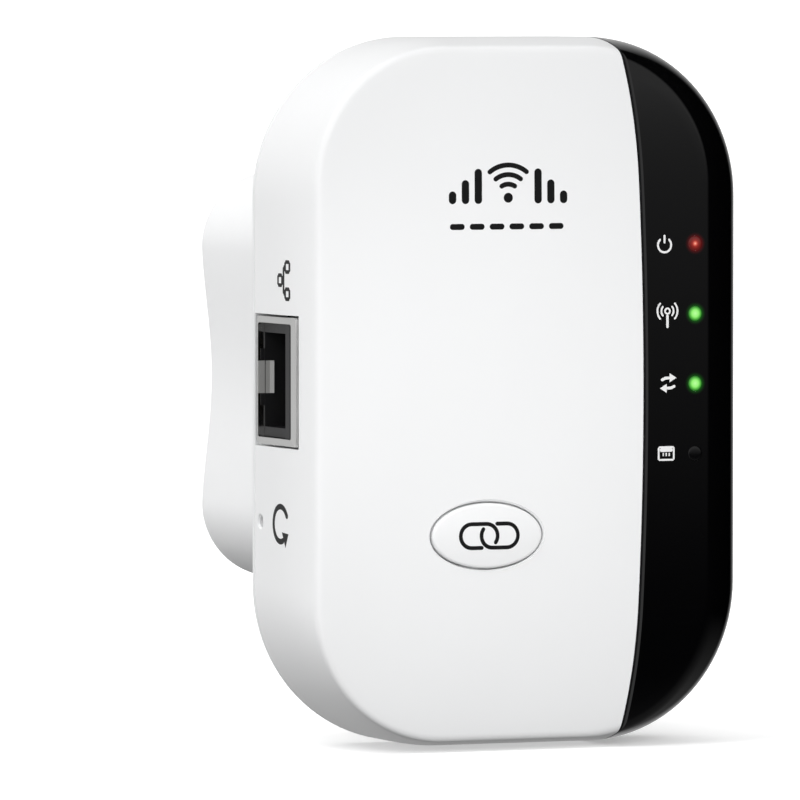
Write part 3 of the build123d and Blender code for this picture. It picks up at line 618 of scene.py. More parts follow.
def buildLensPanel():
    # Glossy black panel right of the seam, with a sloped edge and a hole for each light pipe
    start = partingDepth + coverDetail["partingGap"]
    shell = bodyShell(bodyShape["skinInset"], seamShape["lensWall"], start, coverDetail["rim"])
    lens = makeMesh("lens_shell", [shell])
    carve(lens, [rightOfSeam(seamShape["gap"], seamShape["bevel"], seamShape["bevelDeep"])], "INTERSECT")
    radius = coverDetail["lightHole"]
    for x, z in lightPlaces():
        carve(lens, [prism(x, z, radius, radius, frontDepth - coverDetail["cutDeep"],
                           frontDepth + coverDetail["cutPast"], 48)])
    return finishPiece(lens, finishes["black_lens"], replaced=["lens_panel"])


buttonShape = {
    "halfWidth": 7.5,
    "halfHeight": 4.1,
    "edgeRound": 0.42,
    "dome": 0.22,
    "capDrop": 0.03,        # leaves room for the printing on top
    "flange": 1.1,
    "flangeThick": 0.8,
    "wallDepth": 1.9,
    "stemRadius": 2.2,
}


def buildButton():
    # Oval cap: dome, rounded edge, straight side, flange and stem, as one oval profile
    shape = buttonShape
    low, high = nodeBox("pairing_button")
    x, z = (low[0] + high[0]) / 2, (low[2] + high[2]) / 2
    top = -low[1] - shape["capDrop"]
    across = np.linspace(0.02, 1, 14)
    capInset = np.full(14, shape["edgeRound"])
    capDepth = top - shape["dome"] * across**2
    turn = np.linspace(0, math.pi / 2, 8)[1:]
    roundInset = shape["edgeRound"] * (1 - np.sin(turn))
    roundDepth = top - shape["dome"] - shape["edgeRound"] * (1 - np.cos(turn))
    under = frontDepth - shape["wallDepth"]
    back = under - shape["flangeThick"]
    insets = np.concatenate([capInset, roundInset, [0, -shape["flange"], -shape["flange"], 0]])
    depths = np.concatenate([capDepth, roundDepth, [under, under, back, back]])
    scale = np.concatenate([across, np.ones(len(insets) - 14)])
    cap = joinRings(ovalRings(x, z, shape["halfWidth"], shape["halfHeight"], insets, depths, 96, scale))
    radius = shape["stemRadius"]
    stem = prism(x, z, radius, radius, -high[1], back + 0.2, 32)
    button = makeMesh("oval_button", [cap, stem])
    return finishPiece(button, finishes["button_white"], "button", ["pairing_button"])


rearShape = {
    "corner": 20.4,
    "bevel": 0.7,
    "lipInset": 2.7,
    "slotCount": 3,
    "slotPitch": 3.0,
    "slotLong": 22.0,
    "slotWide": 1.5,
    "slotFromEnd": 11.8,
    "screwHole": 2.3,
    "screwSink": 1.2,       # depth of the widened part of a screw hole
    "screwInset": 2.2,      # from the screws' outer edge to their middle
    "windowInset": 4.5,     # from the housing screws' outer edge to the window behind the plug
    "windowCorner": 2.0,
}


def buildRearCover():
    # Rear plate: a rounded rectangle carried along a profile with a rounded rear edge
    # and a lip inside the front cover
    shape = rearShape
    bevel = shape["bevel"]
    inset = bodyShape["skinInset"]
    turn = np.linspace(0, math.pi / 2, 7)
    edgeInset = inset + bevel * (1 - np.sin(turn))
    edgeDepth = rearDepth + bevel * (1 - np.cos(turn))
    lip = shape["lipInset"]
    lipEnd = -rearLow[1]
    faceInset = np.array([20.0, 12.0, 6.0, 3.0, 1.5])
    insets = np.concatenate([faceInset, edgeInset, [inset, inset + 0.15, lip, lip, 12, 20]])
    depths = np.concatenate([
        np.full(len(faceInset), rearDepth), edgeDepth,
        [partingDepth - 0.15, partingDepth, partingDepth, lipEnd, lipEnd, lipEnd],
    ])
    corner = np.maximum(shape["corner"] - insets, 0.35)
    x, z = roundedRings(rearLow[0] + insets, rearHigh[0] - insets,
                        rearLow[2] + insets, rearHigh[2] - insets, corner, bodyBasis)
    plate = makeMesh("rear_plate", [joinRings(stack(x, depths, z))])
    low, high = nodeBox("housing_screws")
    inset = shape["windowInset"]
    window = cuboid(low[0] + inset, high[0] - inset, rearDepth - 1, lipEnd + 1,
                    low[2] + inset, high[2] - inset, shape["windowCorner"])
    carve(plate, [window])
    slots = []
    for side in (1, -1):
        for k in range(shape["slotCount"]):
            slotZ = bodyMiddleZ + side * (bodyHalfHeight - shape["slotFromEnd"] + k * shape["slotPitch"])
            slots.append(slotPrism(0, slotZ, shape["slotLong"], shape["slotWide"], rearDepth, lipEnd + 1))
    carve(plate, slots)
    low, high = nodeBox("case_screws")
    head, inset = shape["screwHole"], shape["screwInset"]
    depths = (rearDepth - 1, rearDepth, rearDepth + shape["screwSink"], lipEnd + 1)
    for screwX in (low[0] + inset, high[0] - inset):
        for screwZ in (low[2] + inset, high[2] - inset):
            rings = ovalRings(screwX, screwZ, head, head, (-1, 0, 1.0, 1.0), depths, 40)
            carve(plate, [joinRings(rings)])
    return finishPiece(plate, finishes["white_housing"], replaced=["rear_cover"])


def slotPrism(x, z, long, wide, near, far):
    # Slot with round ends and a slightly flared mouth
    basis = ringBasis(12, 2, 8)
    grow = np.array([1.0, 0.25, 0.0, 0.0])
    depths = np.array([near - 0.75, near, near + 0.25, far])
    half = np.array([long / 2, wide / 2])
    ringX, ringZ = roundedRings(x - half[0] - grow, x + half[0] + grow, z - half[1] - grow,
                                z + half[1] + grow, half[1] + grow - 0.01, basis)
    return joinRings(stack(ringX, depths, ringZ))


plugShape = {
    "corner": 10.0,
    "wall": 2.2,
    "face": 2.5,
    "faceRound": 1.3,
    "waist": 1.4,
    "waistLong": 38.0,
    "sleeveGap": 0.05,
}


def buildPlugHousing():
    # Housing behind the body: a rounded square drawn in at the waist on both sides, with a rounded face edge
    shape = plugShape
    low, high = nodeBox("plug_housing")
    inset = bodyShape["skinInset"]
    turn = np.linspace(0, math.pi / 2, 9)
    edge = shape["faceRound"]
    faceInset = np.array([22.0, 14.0, 8.0, 4.0, 2.2])
    outerInset = np.concatenate([faceInset, inset + edge * (1 - np.sin(turn)), np.full(12, inset)])
    outerDepth = np.concatenate([np.zeros(5), edge * (1 - np.cos(turn)), np.linspace(edge, -low[1], 13)[1:]])
    innerInset = np.array([shape["wall"], shape["wall"], 8.0, 22.0])
    innerDepth = np.array([-low[1], shape["face"], shape["face"], shape["face"]])
    insets = np.concatenate([outerInset, innerInset])
    depths = np.concatenate([outerDepth, innerDepth])
    corner = np.maximum(shape["corner"] - insets, 1.0)
    x, z = roundedRings(low[0] + insets, high[0] - insets,
                        low[2] + insets, high[2] - insets, corner, bodyBasis)
    half = shape["waistLong"] / 2
    draw = np.where(np.abs(z) < half, np.cos(math.pi * z / (2 * half)) ** 2, 0)
    reach = np.clip(np.abs(x) / (high[0] - shape["wall"]), 0, 1)
    x = x - np.sign(x) * shape["waist"] * draw * reach**2
    housing = makeMesh("plug_box", [joinRings(stack(x, depths, z))])
    for name in ("plug_pin_left", "plug_pin_right"):
        radius = nodeBox("pin_sleeves")[1][2] + shape["sleeveGap"]
        carve(housing, [prism(nodeMiddle(name)[0], 0, radius, radius, -1, shape["face"] + 1, 48)])
    return finishPiece(housing, finishes["grey_housing"], replaced=["plug_housing"])


jackShape = {
    "sheet": 0.3,           # thickness of the shield
    "endLip": 0.9,          # width of its rim at the mouth, on its ends and on the side towards the room
    "frontLip": 1.45,
    "lipDeep": 0.22,
    "lipRound": 0.22,
    "corner": 0.35,
    "faceStep": 0.9,        # how far the plastic face stands back from the mouth
    "gap": 0.03,
    "cavityHalf": 5.95,
    "cavityFrom": 0.5,      # cavity across the mouth, from the rear side
    "cavityTo": 10.4,
    "cavityDeep": 13.0,
    "stripFrom": 8.9,       # raised strip across the mouth
    "stripTo": 10.35,
    "stripStep": 0.3,
    "tongueHalf": 2.05,
    "tongueMiddle": 0.3,    # height of the tongue above the middle of the jack
    "tongueSheet": 0.14,
    "tonguePath": ((0.01, 0), (0.9, 0.03), (1.55, 0.1), (2.05, 0.35)),   # in from mouth, out from wall
    # Painted shade of two notches, as thin dark plates beside the tongue: their width, their reach in from
    # the mouth and their thickness
    "notchShadeWide": 1.5,
    "notchShadeFrom": 0.4,
    "notchShadeTo": 1.0,
    "notchShadeThick": 0.05,
}


def bentSheet(path, thick, zFrom, zTo):
    # Sheet of metal: a thin rectangle carried along a path in x and depth
    path = np.asarray(path, float)
    x, depth = path[:, :1], path[:, 1:]
    ringX = np.hstack([x, x, x, x])
    ringDepth = np.hstack([depth, depth + thick, depth + thick, depth])
    ringZ = np.broadcast_to([zFrom, zFrom, zTo, zTo], ringX.shape)
    return joinRings(stack(ringX, ringDepth, ringZ))


def buildJack():
    # Shield: a rounded rectangle carried along x, round the rim of the mouth and back inside
    # Tongue: a bent sheet. Block: a plastic body with a cavity, a strip and two thin dark plates beside the
    # tongue that are painted shade of notches.
    shape = jackShape
    low, high = nodeBox("lan_jack_shell")
    mouth, near, far = low[0], -high[1], -low[1]
    middle = (low[2] + high[2]) / 2
    sheet, edge, gap = shape["sheet"], shape["lipRound"], shape["gap"]
    turn = np.linspace(0, math.pi / 2, 7)
    rounding = np.concatenate([[0], edge * (1 - np.cos(turn))])
    lipX = mouth + np.array([0, 0.04, shape["lipDeep"], shape["lipDeep"] + 0.01])
    endX = high[0] - sheet
    x = np.concatenate([[high[0]], mouth + edge * (1 - np.sin(turn)), lipX, [endX]])

    def inset(lip, behind):
        return np.concatenate([rounding, [lip - 0.04, lip, lip, behind, behind]])

    rear, front = inset(sheet, sheet), inset(shape["frontLip"], sheet)
    ends = inset(shape["endLip"], shape["endLip"])
    depth, z = roundedRings(near + rear, far - front, low[2] + ends, high[2] - ends,
                            np.full(len(x), shape["corner"]), ringBasis(6, 10, 6))
    shell = joinRings(np.stack([np.broadcast_to(x[:, None], z.shape), -depth, z], -1))
    shield = makeMesh("jack_shield", [shell])
    finishPiece(shield, polishedTin, replaced=["lan_jack_shell"])
    tongueZ = middle + shape["tongueMiddle"]
    wallAt = near + sheet + 0.02
    path = np.array(shape["tonguePath"]) + (mouth, wallAt)
    half = shape["tongueHalf"]
    tongue = makeMesh("jack_tongue", [bentSheet(path, shape["tongueSheet"], tongueZ - half, tongueZ + half)])
    finishPiece(tongue, satinTin, sharpAngle=15)
    faceX = mouth + shape["faceStep"]
    inner = high[2] - middle - shape["endLip"] - gap
    blockNear, blockFar = near + sheet + gap, far - sheet - gap
    # Painted shade: two thin dark plates laid on the shield's rear wall above and below the tongue, where
    # notches would show shade; nothing is cut
    notchShades = []
    for side in (1, -1):
        start = tongueZ + side * (half + 0.05)
        end = start + side * shape["notchShadeWide"]
        notchShades.append(cuboid(mouth + shape["notchShadeFrom"], mouth + shape["notchShadeTo"],
                              wallAt - 0.01, wallAt - 0.01 + shape["notchShadeThick"],
                              min(start, end), max(start, end), 0.05))
    strip = cuboid(mouth + shape["stripStep"], faceX - gap / 2, near + shape["stripFrom"],
                   near + shape["stripTo"], middle - inner, middle + inner, 0.08)
    solid = cuboid(faceX, endX - gap, blockNear, blockFar, middle - inner, middle + inner, 0.1)
    block = makeMesh("jack_block", [solid])
    half = shape["cavityHalf"]
    carve(block, [cuboid(faceX - 1, mouth + shape["cavityDeep"], near + shape["cavityFrom"],
                         near + shape["cavityTo"], middle - half, middle + half, 0.1)])
    details = makeMesh("jackDetails", [strip] + notchShades)
    block.data = mergeMeshes("jack_block", [block.data, details.data])
    bpy.data.objects.remove(details)
    finishPiece(block, finishes["dark_plastic"], replaced=["lan_jack_body"])


def mergeMeshes(name, meshes):
    # One mesh from several, vertex by vertex
    points, faces, start = [], [], 0
    for part in meshes:
        places = np.empty(len(part.vertices) * 3)
        part.vertices.foreach_get("co", places)
        points.append(places.reshape(-1, 3))
        faces += [[v + start for v in polygon.vertices] for polygon in part.polygons]
        start += len(part.vertices)
    merged = bpy.data.meshes.new(name)
    merged.from_pydata(np.concatenate(points).tolist(), [], faces)
    return merged


lightShape = {
    "radius": 0.9,
    "shaft": 1.25,
    "seatBack": 2.9,        # from the front of the body back to the flange
    "flangeThick": 0.8,
    "dome": 0.06,
    "domeTurn": 1.5,        # how far the domed end turns in, in radians
    # Colours from the middle of a light to its edge, each with its share of the way out
    "red": ((0.0, (1.0, 0.5, 0.36)), (0.2, (0.75, 0.13, 0.09)), (0.42, (0.3, 0.018, 0.015)),
            (0.75, (0.14, 0.005, 0.006)), (1.0, (0.08, 0.002, 0.003))),
    "green": ((0.0, (0.5, 1.0, 0.35)), (0.5, (0.3, 0.9, 0.18)), (0.76, (0.1, 0.5, 0.06)),
              (1.0, (0.012, 0.14, 0.01))),
    "lit": {"power": "red", "signal": "green", "data": "green"},
    "halo": {"red": (0.08, 0.002, 0.003), "green": (0.006, 0.08, 0.005)},
    "haloReach": 0.6,      # how far each glow spreads into the panel round a light
}


def makeGlowGroup():
    # Distance from a light's middle line, as a share of the way from an inner to an outer radius
    group, given, result = newGroup(
        "lightGlow",
        [("Center", "NodeSocketVector", (0, 0, 0)), ("Inner", "NodeSocketFloat", 0.0),
         ("Outer", "NodeSocketFloat", 0.001)],
        [("Share", "NodeSocketFloat")],
    )
    place = addNode(group, "ShaderNodeTexCoord")
    shifted = addNode(group, "ShaderNodeVectorMath",
                      {0: place.outputs["Object"], 1: given.outputs["Center"]}, operation="SUBTRACT")
    flat = addNode(group, "ShaderNodeVectorMath", {0: shifted.outputs[0], 1: (1, 0, 1)}, operation="MULTIPLY")
    far = addNode(group, "ShaderNodeVectorMath", {0: flat.outputs[0]}, operation="LENGTH")
    share = remap(group, far.outputs["Value"], (given.outputs["Inner"], given.outputs["Outer"]))
    group.links.new(share, result.inputs["Share"])
    return group


glowGroup = makeGlowGroup()


def litFinish(name, steps, x, z):
    # Light end: a bright core that falls off to a deep tint at its edge
    finish = makeFinish(name, tuple(0.02 * c for c in steps[0][1]), (0.15, 0.22), coat=0.4)
    tree = finish.node_tree
    shader = tree.nodes["Principled BSDF"]
    glow = useGroup(tree, glowGroup, {"Center": (x * mm, 0, z * mm), "Outer": lightShape["radius"] * mm})
    ramp = addNode(tree, "ShaderNodeValToRGB", {"Fac": glow.outputs["Share"]})
    elements = ramp.color_ramp.elements
    for k, (share, color) in enumerate(steps):
        element = elements[0] if k == 0 else elements[-1] if k == len(steps) - 1 else elements.new(share)
        element.position = share
        element.color = (*color, 1)
    tree.links.new(ramp.outputs["Color"], shader.inputs["Emission Color"])
    shader.inputs["Emission Strength"].default_value = 1.0
    return finish


def addHalos(finish):
    # Glow that each lit light casts into the panel round it, as emission that fades with distance
    shape = lightShape
    tree = finish.node_tree
    shader = tree.nodes["Principled BSDF"]
    total = None
    for use, (x, z) in zip(("power", "signal", "data"), lightPlaces()):
        glow = useGroup(tree, glowGroup, {"Center": (x * mm, 0, z * mm), "Inner": shape["radius"] * mm,
                                          "Outer": (shape["radius"] + shape["haloReach"]) * mm})
        faded = calculate(tree, "POWER", calculate(tree, "SUBTRACT", 1.0, glow.outputs["Share"]), 2.0)
        tint = addNode(tree, "ShaderNodeVectorMath", {0: shape["halo"][shape["lit"][use]], "Scale": faded},
                       operation="SCALE").outputs[0]
        if total is not None:
            tint = addNode(tree, "ShaderNodeVectorMath", {0: total, 1: tint}, operation="ADD").outputs[0]
        total = tint
    tree.links.new(total, shader.inputs["Emission Color"])
    shader.inputs["Emission Strength"].default_value = 1.0


def buildLightPipes():
    # Each pipe is a shaft, a flange and a slightly domed end, as one round profile
    shape = lightShape
    for use, (x, z) in zip(("power", "signal", "data", "port"), lightPlaces()):
        low, high = nodeBox(f"{use}_light_pipe")
        flange = (high[0] - low[0]) / 2
        radius = shape["radius"]
        end = faceDepth(x, z)
        seat = frontDepth - shape["seatBack"]
        under = seat - shape["flangeThick"]
        turn = np.linspace(0, shape["domeTurn"], 6)
        radii = np.concatenate([[shape["shaft"]] * 2, [flange] * 2, [radius] * 2, radius * np.cos(turn)])
        insets = flange - radii
        depths = np.concatenate([[-high[1], under, under, seat, seat, end - shape["dome"] - 0.02],
                                 end - shape["dome"] * (1 - np.sin(turn))])
        pipe = makeMesh(f"{use}_light_end", [joinRings(ovalRings(x, z, flange, flange, insets, depths, 40))])
        lit = shape["lit"].get(use)
        finish = litFinish(f"{use}Lit", shape[lit], x, z) if lit else finishes["clear_pipe"]
        finishPiece(pipe, finish, replaced=[f"{use}_light_pipe"])


printDetail = {"thick": 0.03, "lift": 0.012}


def strokeRings(path, widths, place):
    # A flat stroke: a thin rectangle carried along a path, as wide at each point as widths says
    path = np.asarray(path, float)
    widths = np.asarray(widths, float)
    along = np.gradient(path, axis=0)
    along /= np.linalg.norm(along, axis=1)[:, None] + 1e-9
    side = np.stack([-along[:, 1], along[:, 0]], -1) * widths[:, None] / 2
    left, right = path + side, path - side
    top = printDetail["lift"]
    rows = [place(left, top), place(right, top), place(right, top - printDetail["thick"]),
            place(left, top - printDetail["thick"])]
    return joinRings(np.stack(rows, axis=1))


def roundStroke(points, width, place, count=24):
    # Stroke through points with round ends: the width falls to nothing as a half circle over the end radius
    points = np.asarray(points, float)
    steps = np.concatenate([[0], np.cumsum(np.linalg.norm(np.diff(points, axis=0), axis=1))])
    length = steps[-1]
    ends = width / 2 * (1 - np.cos(np.linspace(0, math.pi / 2, 7)))
    inner = np.linspace(ends[-1], length - ends[-1], max(count, 2))
    at = np.concatenate([ends[:-1], inner, (length - ends[:-1])[::-1]])
    path = np.stack([np.interp(at, steps, points[:, k]) for k in range(2)], -1)
    fromEnd = np.minimum(np.minimum(at, length - at), width / 2)
    widths = 2 * np.sqrt(np.clip((width / 2) ** 2 - (width / 2 - fromEnd) ** 2, 1e-8, None))
    return strokeRings(path, widths, place)


def arcPoints(x, z, radius, fromAngle, toAngle, count=40, squeeze=1.0):
    turn = np.radians(np.linspace(fromAngle, toAngle, count))
    return np.stack([x + radius * np.cos(turn), z + squeeze * radius * np.sin(turn)], -1)


def ringStroke(x, z, radius, width, place, squeeze=1.0):
    # Full ring: the thin rectangle carried round a closed circle
    turn = np.linspace(0, 2 * math.pi, 56, endpoint=False)
    direction = np.stack([np.cos(turn), squeeze * np.sin(turn)], -1)
    outer = np.array([x, z]) + direction * (radius + width / 2)
    inner = np.array([x, z]) + direction * (radius - width / 2)
    top = printDetail["lift"]
    low = top - printDetail["thick"]
    rows = [place(outer, top), place(inner, top), place(inner, low), place(outer, low)]
    return joinRings(np.stack(rows, axis=1), loop=True)


def disc(x, z, radius, place):
    # Filled round dot, as a short stroke of circular outline
    across = radius * np.cos(np.linspace(math.pi, 0, 17))
    widths = 2 * np.sqrt(np.clip(radius**2 - across**2, 1e-8, None))
    return strokeRings(np.stack([x + across, z + 0 * across], -1), widths, place)


def arrowHead(tip, back, width, place):
    # Triangle from its tip back to a full width
    points = np.linspace(back, tip, 8)
    return strokeRings(points, np.linspace(width, 0.004, 8), place)


def onFace(points, lift):
    # Points of the front face, raised square to it
    x, z = points[:, 0], points[:, 1]
    return np.stack([x, -(faceDepth(x, z) + lift), z], -1)


def onLeftWall(points, lift):
    # Points of the left wall from depth and z, raised square to it
    depth, z = points[:, 0], points[:, 1]
    share = np.clip((depth - frontDepth + bodyShape["shoulderRun"]) / bodyShape["shoulderRun"], 0, None)
    x = rearLow[0] + bodyShape["skinInset"] + bodyShape["rakeLeft"] * share**2 - lift
    return np.stack([x, -depth, z], -1)


def onButton(points, lift):
    # Points of the button's dome
    low, high = nodeBox("pairing_button")
    x, z = points[:, 0], points[:, 1]
    acrossShare = (x - (low[0] + high[0]) / 2) / (buttonShape["halfWidth"] - buttonShape["edgeRound"])
    upShare = (z - (low[2] + high[2]) / 2) / (buttonShape["halfHeight"] - buttonShape["edgeRound"])
    share = np.sqrt(acrossShare**2 + upShare**2)
    return np.stack([x, low[1] + buttonShape["capDrop"] + buttonShape["dome"] * share**2 - lift, z], -1)


def printPiece(name, parts, ink, body="case"):
    piece = makeMesh(name, parts)
    return finishPiece(piece, ink, body)


frontPrint = {
    "middleX": -4.35,
    "dot": 0.62,
    "stroke": 0.62,
    "arcs": (1.7, 2.9, 4.1),
    "arcFrom": 48,
    "arcTo": 132,
    "arcFootZ": 24.6,
    "barReach": 8.45,       # from the middle to the outer end of the bars
    "barDrop": 0.75,
    "barWidth": 1.0,
    "barPitch": 1.75,
    "barHeights": (1.6, 3.0, 4.4),
    "ruleZ": 21.0,
    "ruleHalf": 8.1,
    "ruleParts": 6,
    "ruleWidth": 0.75,
    "ruleStart": 0.15,      # gaps at the ends of each part of the rule
    "ruleEnd": 0.55,
}


def buildFrontPrint():
    # Three waves over a dot, between bars that rise on the left and fall on the right, over a broken rule
    look = frontPrint
    x, base = look["middleX"], bodyMiddleZ + look["arcFootZ"]
    parts = [disc(x, base, look["dot"], onFace)]
    for radius in look["arcs"]:
        arc = arcPoints(x, base, radius, look["arcFrom"], look["arcTo"])
        parts.append(roundStroke(arc, look["stroke"], onFace))
    low = base - look["barDrop"]
    for k, height in enumerate(look["barHeights"]):
        for side in (-1, 1):
            barX = x + side * (look["barReach"] - (k + 0.5) * look["barPitch"])
            parts.append(roundStroke([(barX, low), (barX, low + height)], look["barWidth"], onFace))
    ruleZ = bodyMiddleZ + look["ruleZ"]
    long = 2 * look["ruleHalf"] / look["ruleParts"]
    for k in range(look["ruleParts"]):
        left = x - look["ruleHalf"] + k * long
        ends = [(left + look["ruleStart"], ruleZ), (left + long - look["ruleEnd"], ruleZ)]
        parts.append(roundStroke(ends, look["ruleWidth"], onFace))
    printPiece("front_print", parts, darkInk)


def linkLoop(x, z, long, radius, width, place, fromShare=0.0, toShare=1.0):
    # Stadium-shaped link: two straight runs joined by half circles, drawn over a share of its length
    straight = long / 2 - radius
    upper = [(x - straight, z + radius), (x + straight, z + radius)]
    right = arcPoints(x + straight, z, radius, 90, -90)
    path = np.vstack([upper, right, arcPoints(x - straight, z, radius, -90, -270)])
    steps = np.concatenate([[0], np.cumsum(np.linalg.norm(np.diff(path, axis=0), axis=1))])
    at = np.linspace(fromShare, toShare, 80) % 1 * steps[-1]
    points = np.stack([np.interp(at, steps, path[:, k]) for k in range(2)], -1)
    return roundStroke(points, width, place, 80)


buttonPrint = {
    "shift": 0.15,
    "apart": 1.4,           # from the middle to the middle of each link
    "long": 5.0,
    "radius": 1.5,
    "stroke": 0.5,
    "leftRun": (0.53, 1.41),    # shares of its length over which each link is drawn
    "rightRun": (1.03, 1.91),
}


def buildButtonPrint():
    # Two chain links, each open where the other passes over it
    look = buttonPrint
    button = nodeMiddle("pairing_button")
    parts = []
    for side, run in ((-1, look["leftRun"]), (1, look["rightRun"])):
        x = button[0] + look["shift"] + side * look["apart"]
        size = (look["long"], look["radius"], look["stroke"])
        parts.append(linkLoop(x, button[2], *size, onButton, *run))
    printPiece("button_print", parts, darkInk, "button")


wallPrint = {
    "portZ": 14.3,
    "portDepth": 38.9,
    "portStroke": 0.48,
    "boxHalf": 0.62,
    "boxAside": 1.1,        # from the joining line to the middle of a box
    "boxApart": 1.7,
    "resetZ": -16.3,
    "resetDepth": 37.9,
    "resetRadius": 2.2,
    "resetStroke": 0.72,
    "resetFrom": 20,
    "resetTo": 300,
    "arrowLong": 1.5,
    "arrowWide": 2.2,
}


def openPath(points, width, place, count):
    # Straight strokes from each point to the next
    return [roundStroke(points[k:k + 2], width, place, count) for k in range(len(points) - 1)]


def squareBox(x, z, halfWide, halfTall):
    corners = [(-1, -1), (1, -1), (1, 1), (-1, 1), (-1, -1)]
    return np.array([x, z]) + np.array(corners) * (halfWide, halfTall)


def buildWallPrints():
    # Port label: three small boxes joined by a line. Reset label: an open ring that ends in an arrow
    look = wallPrint
    z, depth, width = bodyMiddleZ + look["portZ"], look["portDepth"], look["portStroke"]
    aside, apart, half = look["boxAside"], look["boxApart"], look["boxHalf"]
    parts = []
    for boxDepth, boxZ in ((depth - aside, z), (depth + aside, z + apart), (depth + aside, z - apart)):
        parts += openPath(squareBox(boxDepth, boxZ, half, half), width, onLeftWall, 4)
    parts.append(roundStroke([(depth, z - apart), (depth, z + apart)], width, onLeftWall))
    for start, lineZ in ((depth - 0.5, z), (depth, z + apart), (depth, z - apart)):
        parts.append(roundStroke([(start, lineZ), (start + 0.5, lineZ)], width, onLeftWall, 4))
    printPiece("port_label", parts, darkInk)
    z, depth, radius = bodyMiddleZ + look["resetZ"], look["resetDepth"], look["resetRadius"]
    ring = arcPoints(depth, z, radius, look["resetFrom"], look["resetTo"])
    parts = [roundStroke(ring, look["resetStroke"], onLeftWall, 60)]
    turn = math.radians(look["resetTo"])
    away = np.array([-math.sin(turn), math.cos(turn)])
    tip = ring[-1] + away * look["arrowLong"]
    parts.append(arrowHead(tip, ring[-1] - away * 0.1, look["arrowWide"], onLeftWall))
    printPiece("reset_label", parts, darkInk)


statusPrint = {
    "powerX": 17.2,
    "powerRadius": 0.92,
    "powerStroke": 0.27,
    "signalX": 17.6,
    "signalUp": 0.35,       # height of the mast's ring above the light
    "signalWaves": (0.85, 1.4),
    "signalStroke": 0.24,
    "dataX": 17.7,
    "dataStroke": 0.36,
    "dataArrow": 1.15,
    "portX": 17.45,
    "portStroke": 0.24,
}


def buildStatusPrints():
    # White pictograms beside the lights: power ring, mast with waves, two arrows, network socket
    look = statusPrint
    powerZ, signalZ, dataZ, portZ = (place[1] for place in lightPlaces())
    x, z, stroke = look["powerX"], powerZ - 0.15, look["powerStroke"]
    printPiece("power_icon", [
        roundStroke(arcPoints(x, z, look["powerRadius"], 125, 415), stroke, onFace, 50),
        roundStroke([(x, z + 0.2), (x, z + 1.3)], stroke, onFace, 6),
    ], whiteInk)
    x, z = look["signalX"], signalZ + look["signalUp"]
    parts = [ringStroke(x, z, 0.34, 0.22, onFace)]
    parts.append(roundStroke([(x, z - 0.45), (x, z - 2.15)], 0.34, onFace, 6))
    for radius in look["signalWaves"]:
        for middle in (0, 180):
            wave = arcPoints(x, z, radius, middle - 48, middle + 48)
            parts.append(roundStroke(wave, look["signalStroke"], onFace))
    printPiece("signal_icon", parts, whiteInk)
    x, z, wide = look["dataX"], dataZ + 0.1, look["dataArrow"]
    parts = []
    for side in (1, -1):
        bend = np.array([(-1.0, 0.35), (-0.4, 0.62), (0.3, 0.66)])
        parts.append(roundStroke((x, z) + side * bend, look["dataStroke"], onFace, 10))
        tip, back = (x + side * 1.15, z + side * 0.66), (x + side * 0.2, z + side * 0.66)
        parts.append(arrowHead(tip, back, wide, onFace))
    printPiece("data_icon", parts, whiteInk)
    x, z = look["portX"], portZ + 0.05
    parts = openPath(squareBox(x, z, 1.05, 0.8), look["portStroke"], onFace, 6)
    parts.append(roundStroke([(x - 0.9, z + 0.45), (x + 0.9, z + 0.45)], 0.5, onFace, 6))
    for k in (-1, 0, 1):
        pinX = x + k * 0.42
        parts.append(roundStroke([(pinX, z + 0.1), (pinX, z - 0.35)], 0.18, onFace, 4))
    printPiece("port_icon", parts, whiteInk)


buildFrontCover()
buildLensPanel()
print("front cover and lens panel ready")
buildButton()
buildRearCover()
buildPlugHousing()
print("button, rear cover and plug housing ready")
buildJack()
buildLightPipes()
addHalos(finishes["black_lens"])
buildFrontPrint()
buildButtonPrint()
buildWallPrints()
buildStatusPrints()
print("lights and printing ready")


cameraView = {
    "azimuth": -23.40,      # degrees round from looking along +Y
    "elevation": 2.27,
    "distance": 1200.0,
    "lens": 427.3,
    "target": (0.0, -40.0, 2.0),
    "aimLeft": 14.55,       # how far left of and below the target the camera's own axis passes
    "aimDown": 4.16,
}


def buildCamera():
    look = cameraView
    turn, rise = math.radians(look["azimuth"]), math.radians(look["elevation"])
    back = Vector((math.sin(turn) * math.cos(rise), -math.cos(turn) * math.cos(rise), math.sin(rise)))
    right = Vector((math.cos(turn), math.sin(turn), 0))
    up = right.cross(-back)
    target = Vector(look["target"])
    place = target + back * look["distance"]
    aim = target - right * look["aimLeft"] - up * look["aimDown"]
    data = bpy.data.cameras.new("studioCamera")
    data.lens = look["lens"]
    data.sensor_width = 36.0
    data.clip_start = 0.05
    data.clip_end = 20.0
    camera = bpy.data.objects.new("studioCamera", data)
    camera.location = place * mm
    camera.rotation_euler = (aim - place).to_track_quat("-Z", "Y").to_euler()
    bpy.context.scene.collection.objects.link(camera)
    bpy.context.scene.camera = camera


stageLook = {
    "floorNear": -3.0,              # metres: front of the floor, wall behind, its height and half its width
    "wallAt": 2.0,
    "wallTop": 3.5,
    "halfWide": 4.0,
    "sweepRadius": 0.8,
    "floorColor": 0.93,
    "floorGlow": 0.35,
    "fill": (0.2, 0.56),            # white surroundings, from below to above
    "fillSpan": (-0.6, 0.3),
    "frontGlow": (0.0, 0.36),       # what the dark panel's face reflects, from low to high
    "riseSpan": (-0.08, 0.12),
    "frontSpan": (-0.6, -0.8),
    "leftGlow": 0.55,               # what metal and edges on the left reflect
    "leftSpan": (0.0, -0.4),
    "underGlow": 0.1,
    "underSpan": (-0.15, -0.5),
    "backGlow": 0.5,                # what pins and screws behind reflect
    "backSpan": (0.66, 0.9),
}


